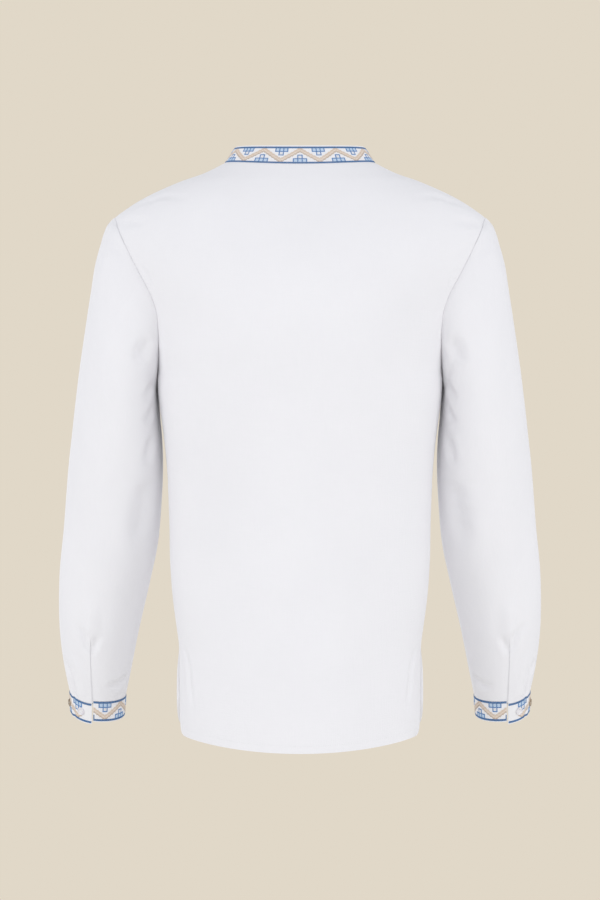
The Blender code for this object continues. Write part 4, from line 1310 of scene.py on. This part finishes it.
def sew(name, places, along, outward, thread, shape, size):
    """Makes one mesh of stitches, one on each place."""
    points = bpy.data.meshes.new(name + "_points")
    points.from_pydata(places.tolist(), [], [])
    for attribute, values in (("along", along), ("outward", outward)):
        layer = points.attributes.new(attribute, "FLOAT_VECTOR", "POINT")
        layer.data.foreach_set("vector", values.reshape(-1).astype(np.float32))
    layer = points.attributes.new("thread", "INT", "POINT")
    layer.data.foreach_set("value", np.asarray(thread, np.int32))
    holder = link_object(name + "_points", points)
    modifier = holder.modifiers.new("sewing", "NODES")
    modifier.node_group = stitches
    values = {"Stitch": shape, "Size": size}
    values.update({thread_name: material for (thread_name, _), material in zip(THREAD_COLOURS, threads)})
    for socket in stitches.interface.items_tree:
        if socket.name in values:
            modifier[socket.identifier] = values[socket.name]
    seen = holder.evaluated_get(bpy.context.evaluated_depsgraph_get())
    mesh = bpy.data.meshes.new_from_object(seen)
    mesh.name = name
    for attribute in ("along", "outward", "thread"):
        if attribute in mesh.attributes:
            mesh.attributes.remove(mesh.attributes[attribute])
    bpy.data.objects.remove(holder, do_unlink=True)
    piece = link_object(name, mesh)
    print(name, len(places), "stitches,", sum(len(face.vertices) - 2 for face in mesh.polygons), "triangles")
    return piece


# %% [markdown]
# ## The pattern of the bands
#
# The embroidery is counted: every stitch fills one square of the cloth's grid, so the pattern is a chart.
# This one is a common geometric border. Two blue lines run along the edges. Stepped blue figures, each
# of three squares and a fourth, stand on the lower line and hang from the upper one by turns, and a
# stepped band of beige and cream winds between them. The chart is worked out by rule, not drawn.

# %% The chart
CHART_ROWS = 19
BORDER = 2
HALF_REPEAT = 18
SQUARE = 4
BAND_LOW, BAND_HIGH = 3.0, 15.0
BAND_THREADS = (TAN, BEIGE, CREAM, BEIGE, BEIGE)
FIGURE = (
    # bottom row, squares side by side
    (0, 3),
    (SQUARE, 1),
)
NO_STITCH = -1
CHART_LETTERS = ".#xo-=+w"


def figure_thread(offset, level):
    """The thread of a figure that stands on row 0, at a column offset from its middle, or no stitch."""
    for bottom, squares in FIGURE:
        half = squares * SQUARE // 2
        if bottom <= level < bottom + SQUARE and abs(offset) <= half:
            outline = level == bottom + SQUARE - 1 or (offset + half) % SQUARE == 0
            return BRIGHT_BLUE if outline else (PALE_BLUE if bottom == 0 else WHITE)
    return NO_STITCH


def chart_thread(column, row):
    """The thread at one square of the chart. Column 0 is the middle of a standing figure."""
    if row < BORDER or row >= CHART_ROWS - BORDER:
        return BLUE
    offset = (column + HALF_REPEAT) % (2 * HALF_REPEAT) - HALF_REPEAT
    standing = figure_thread(offset, row - BORDER)
    if standing != NO_STITCH:
        return standing
    hanging_offset = (column + 2 * HALF_REPEAT) % (2 * HALF_REPEAT) - HALF_REPEAT
    hanging = figure_thread(hanging_offset, CHART_ROWS - BORDER - 1 - row)
    if hanging != NO_STITCH:
        return hanging
    middle = BAND_HIGH - (BAND_HIGH - BAND_LOW) * abs(offset) / HALF_REPEAT
    step = row - (round(middle) - 2)
    if 0 <= step < len(BAND_THREADS):
        return BAND_THREADS[step]
    return NO_STITCH


chart_columns = range(-2 * HALF_REPEAT, 2 * HALF_REPEAT + 1)
for row in reversed(range(CHART_ROWS)):
    print("".join(CHART_LETTERS[chart_thread(column, row) + 1] for column in chart_columns))


# %% [markdown]
# ## Working the chart on the collar and the cuffs
#
# The collar's pattern is centred on the middle of the back, where a figure stands, and ends in a blue line
# at each end. A cuff's pattern starts at the end that closes over the other, where a short blue line goes
# up from its lower border, and stops short of the buttons, while both borders run on to the very end.

# %% Embroidered bands
STITCH = 0.00135
STITCH_LIFT = 0.00005
COLLAR_END_MARGIN = 0.0010
COLLAR_MARGINS = (0.0003, 0.0017)  # below and above the chart
CUFF_MARGINS = (0.0012, 0.0003)
TINY = 0.001


def grid_read(grid, rows, columns):
    """Values of a grid at fractional rows and columns."""
    low_row = np.clip(rows.astype(int), 0, grid.shape[0] - 2)
    low_column = np.clip(columns.astype(int), 0, grid.shape[1] - 2)
    t, s = (rows - low_row)[:, None], (columns - low_column)[:, None]
    upper = grid[low_row, low_column] * (1 - s) + grid[low_row, low_column + 1] * s
    lower = grid[low_row + 1, low_column] * (1 - s) + grid[low_row + 1, low_column + 1] * s
    return upper * (1 - t) + lower * t


def embroider(name, grid, normals, columns_at, threads_at, margins, bottom_row=0, mirror=False):
    """Works a chart on a band. columns_at are the grid columns of the chart's columns, threads_at gives
    the thread of chart column and row, and bottom_row is the grid row of the band's lower edge."""
    bottom_margin, top_margin = margins
    rows_count = grid.shape[0] - 1
    height = along_grid(grid, 0)[-1].mean()
    rise = (height - bottom_margin - top_margin) / CHART_ROWS
    rows, columns, names = [], [], []
    for index, column in enumerate(columns_at):
        for row in range(CHART_ROWS):
            thread = threads_at(index, row)
            if thread == NO_STITCH:
                continue
            share = (bottom_margin + rise * (row + 0.5)) / height
            rows.append(share * rows_count if bottom_row == 0 else (1 - share) * rows_count)
            columns.append(column)
            names.append(thread)
    rows, columns = np.array(rows), np.array(columns)
    places = grid_read(grid, rows, columns)
    outward = unit(grid_read(normals, rows, columns))
    last_column = grid.shape[1] - 1 - TINY
    along = grid_read(grid, rows, np.minimum(columns + 0.5, last_column))
    along = unit(along - grid_read(grid, rows, columns - 0.5))
    places = places + outward * STITCH_LIFT
    turn = np.array(MIRROR) if mirror else np.ones(3)
    return sew(name, places * turn, along * turn, outward * turn, names, cross_shape,
               (STITCH, rise, STITCH))


collar_lengths = along_grid(collar_outer, 1)[COLLAR_ROWS // 2]
back_middle = collar_lengths[np.argmin(np.abs(collar_outer[0, :, 0]) + (collar_outer[0, :, 1] < 0))]
left_count = int((back_middle - COLLAR_END_MARGIN) / STITCH)
right_count = int((collar_lengths[-1] - back_middle - COLLAR_END_MARGIN) / STITCH)
collar_steps = back_middle + np.arange(-left_count, right_count + 1) * STITCH
collar_columns = np.interp(collar_steps, collar_lengths, np.arange(len(collar_lengths)))


def collar_thread(index, row):
    if index < BORDER or index >= len(collar_columns) - BORDER:
        return BLUE
    return chart_thread(index - left_count, row)


collar_work = embroider("collar_embroidery", collar_outer, collar_normals, collar_columns, collar_thread,
                        COLLAR_MARGINS)

CUFF_FIRST_FIGURE = 11
CUFF_PLAIN = 10
CUFF_END_MARGIN = 0.0003
CUFF_END_LINE = 6
cuff_band_normals = np.broadcast_to(cuff_normals, cuff_grid.shape)
cuff_lengths = along_grid(cuff_grid, 1)[CUFF_ROWS // 2]
cuff_count = int((cuff_lengths[-1] - 2 * CUFF_END_MARGIN) / STITCH)
cuff_steps = cuff_lengths[-1] - CUFF_END_MARGIN - (np.arange(cuff_count) + 0.5) * STITCH
cuff_columns = np.interp(cuff_steps, cuff_lengths, np.arange(len(cuff_lengths)))


def cuff_thread(index, row):
    edge = row < BORDER or row >= CHART_ROWS - BORDER
    if edge or (index < 1 and row < CUFF_END_LINE):
        return BLUE
    if index >= cuff_count - CUFF_PLAIN:
        return NO_STITCH
    return chart_thread(index - CUFF_FIRST_FIGURE + HALF_REPEAT, row)


cuff_works = [
    embroider(f"cuff_{side}_embroidery", cuff_grid, cuff_band_normals, cuff_columns, cuff_thread,
              CUFF_MARGINS, bottom_row=CUFF_ROWS, mirror=side == "right")
    for side in ("left", "right")
]

# %% [markdown]
# ## Plain sewing
#
# The hems are held by a line of white running stitches, almost a hem's width from the edge, and so are the
# edges of the placket. They use the same tree as the embroidery: only the shape, the thread and the places
# differ. A line is given as places on a grid, which are then spaced evenly by their real distance.

# %% Hems, placket, buttonholes and button threads
STITCH_PITCH = 0.0030
STITCH_SIZE = (0.0023, 0.0034, 0.0030)
HEM_STITCH = HEM_WIDTH - 0.0014
PLACKET_INSET = 0.0020
BOX_ROWS = (1.0, 8.0)
BOX_POINTS = 8
HOLE_HALF = 0.0065
HOLE_POINTS = 9
HOLE_PITCH = 0.0006
HOLE_SIZE = (0.0024, 0.0032, 0.0030)
CROSS_SIZE = (0.0034, 0.0034, 0.0016)


def line_on(grid, normals, rows, columns, pitch):
    """Evenly spaced stitches along a line of grid places: places, directions and normals."""
    path = grid_read(grid, rows, columns)
    length = np.concatenate([[0], np.cumsum(np.linalg.norm(np.diff(path, axis=0), axis=1))])

    def at(steps):
        where = np.interp(steps, length, rows), np.interp(steps, length, columns)
        return grid_read(grid, *where), grid_read(normals, *where)

    steps = np.arange(pitch / 2, length[-1] - pitch / 4, pitch)
    here, out = at(steps)
    return here, unit(at(steps + pitch / 4)[0] - here), unit(out)


def hem_line(form):
    """Grid places of a line beside the free edges: down one slit, along the hem and up the other."""
    up, across = along_grid(form, 0), along_grid(form, 1)
    all_rows, all_columns = np.arange(form.shape[0]), np.arange(form.shape[1])
    hem_rows = np.array([np.interp(HEM_STITCH, up[:, column], all_rows) for column in all_columns])
    near = hem_rows.astype(int)
    side = np.minimum(across[near, all_columns], across[near, -1] - across[near, all_columns])
    along_hem = side > HEM_STITCH
    open_rows = np.flatnonzero(form[:, -1, 2] <= SLIT_TOP)
    right = np.array([np.interp(HEM_STITCH, across[row], all_columns) for row in open_rows])
    above = up[open_rows, right.astype(int)] > HEM_STITCH
    open_rows, right = open_rows[above].astype(float), right[above]
    left = form.shape[1] - 1 - right
    rows = np.concatenate([open_rows[::-1], hem_rows[along_hem], open_rows])
    columns = np.concatenate([right[::-1], all_columns[along_hem].astype(float), left])
    return rows, columns


def sew_lines(name, lines, shape, size):
    """Makes one mesh of white stitches on several lines."""
    places, along, outward = (np.concatenate(parts) for parts in zip(*lines))
    return sew(name, places, along, outward, [WHITE] * len(places), shape, size)


hem_works = [
    sew_lines(name, [line_on(outer, normals, *hem_line(form), STITCH_PITCH)], running_shape, STITCH_SIZE)
    for name, outer, normals, form in (("back_hem_stitches", back_outer, back_normals, back_form),
                                       ("front_hem_stitches", front_outer, front_normals, front_form))
]
inset = PLACKET_INSET / PLACKET_WIDTH * (BAND_COLUMNS - 1)
band_rows = np.linspace(1, BAND_ROWS - 2, BAND_ROWS)
box_columns = np.linspace(inset, BAND_COLUMNS - 1 - inset, BOX_POINTS)
placket_paths = [(band_rows, np.full(BAND_ROWS, column)) for column in (inset, BAND_COLUMNS - 1 - inset)]
placket_paths += [(np.full(BOX_POINTS, row), box_columns) for row in BOX_ROWS]
placket_lines = [line_on(over_grid, over_out, *path, STITCH_PITCH) for path in placket_paths]
placket_work = sew_lines("placket_stitches", placket_lines, running_shape, STITCH_SIZE)

row_pitch = along_grid(over_grid, 0)[-1, 0] / (BAND_ROWS - 1)
reach = HOLE_HALF / row_pitch
middle_column = BAND_COLUMNS // 2
hole_lines = []
for name in button_names:
    if "front" in name:
        gap = np.linalg.norm(over_grid[:, middle_column] - button_dishes[name][0], axis=1)
        rows = np.argmin(gap) + np.linspace(-reach, reach, HOLE_POINTS)
        columns = np.full(HOLE_POINTS, float(middle_column))
        here, along, out = line_on(over_grid, over_out, rows, columns, HOLE_PITCH)
        hole_lines.append((here, np.cross(out, along), out))
hole_work = sew_lines("buttonhole_stitches", hole_lines, running_shape, HOLE_SIZE)
dishes = [[part[None] for part in dish] for dish in button_dishes.values()]
button_work = sew_lines("button_threads", dishes, cross_shape, CROSS_SIZE)
plain_works = hem_works + [placket_work, hole_work, button_work]

# %% [markdown]
# ## What each piece stands for
#
# The last step gives each sheet and button its finish, hangs every piece from the body that it moves with,
# and hides the solid that it takes the place of. The tables also list how large each sheet of cloth was
# before it was sewn.

def declare(piece, material, slot, *nodes):
    piece.data.materials.clear()
    piece.data.materials.append(material)
    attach(piece, "root")
    if nodes:
        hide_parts(*nodes)


SHEETS = (
    # piece, node, flat width, flat length, flat area
    (back_cloth, "back", 0.60, 0.78, 0.36),
    (front_cloth, "front", 0.60, 0.76, 0.34),
    (sleeve_cloths[0], "sleeve_left", 0.42, 0.66, 0.215),
    (sleeve_cloths[1], "sleeve_right", 0.42, 0.66, 0.215),
)
# These buttons are painted brown as painted shade, for the shade on them when seen edge-on.
PAINTED_SHADE_BUTTONS = ("button_cuff_left_2", "button_cuff_right_2")
BANDS = (
    # piece, node or nothing, slot, flat width, flat length
    (collar_cloth, "collar", "embroidered_band", 0.53, 0.027),
    (cuff_cloths[0], "cuff_left", "embroidered_band", 0.235, 0.029),
    (cuff_cloths[1], "cuff_right", "embroidered_band", 0.235, 0.029),
    (over_cloth, "placket_over", "white_linen", 0.030, 0.27),
    (under_cloth, "placket_under", "white_linen", 0.039, 0.27),
    (slit_facings[0], None, "white_linen", 0.0125, 0.115),
    (slit_facings[1], None, "white_linen", 0.0125, 0.115),
    (slit_strips[0], None, "white_linen", 0.0195, 0.094),
    (slit_strips[1], None, "white_linen", 0.0195, 0.094),
)
for piece, node, width, length, area in SHEETS:
    declare(piece, white_linen, "white_linen", node)
for piece, node, slot, width, length in BANDS:
    if node:
        declare(piece, band_linen, slot, node)
    else:
        declare(piece, white_linen, slot)
for name, piece in buttons.items():
    # The buttons listed above get the brown of painted shade, and the others get pearl.
    declare(piece, *((painted_shade_brown, "horn_button") if name in PAINTED_SHADE_BUTTONS else (pearl, "pearl_button")), name)
for pieces, slot in (([collar_work] + cuff_works, "embroidered_band"), (plain_works, "white_linen")):
    for piece in pieces:
        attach(piece, "root")
for shape in (cross_shape, running_shape):
    bpy.data.objects.remove(shape, do_unlink=True)
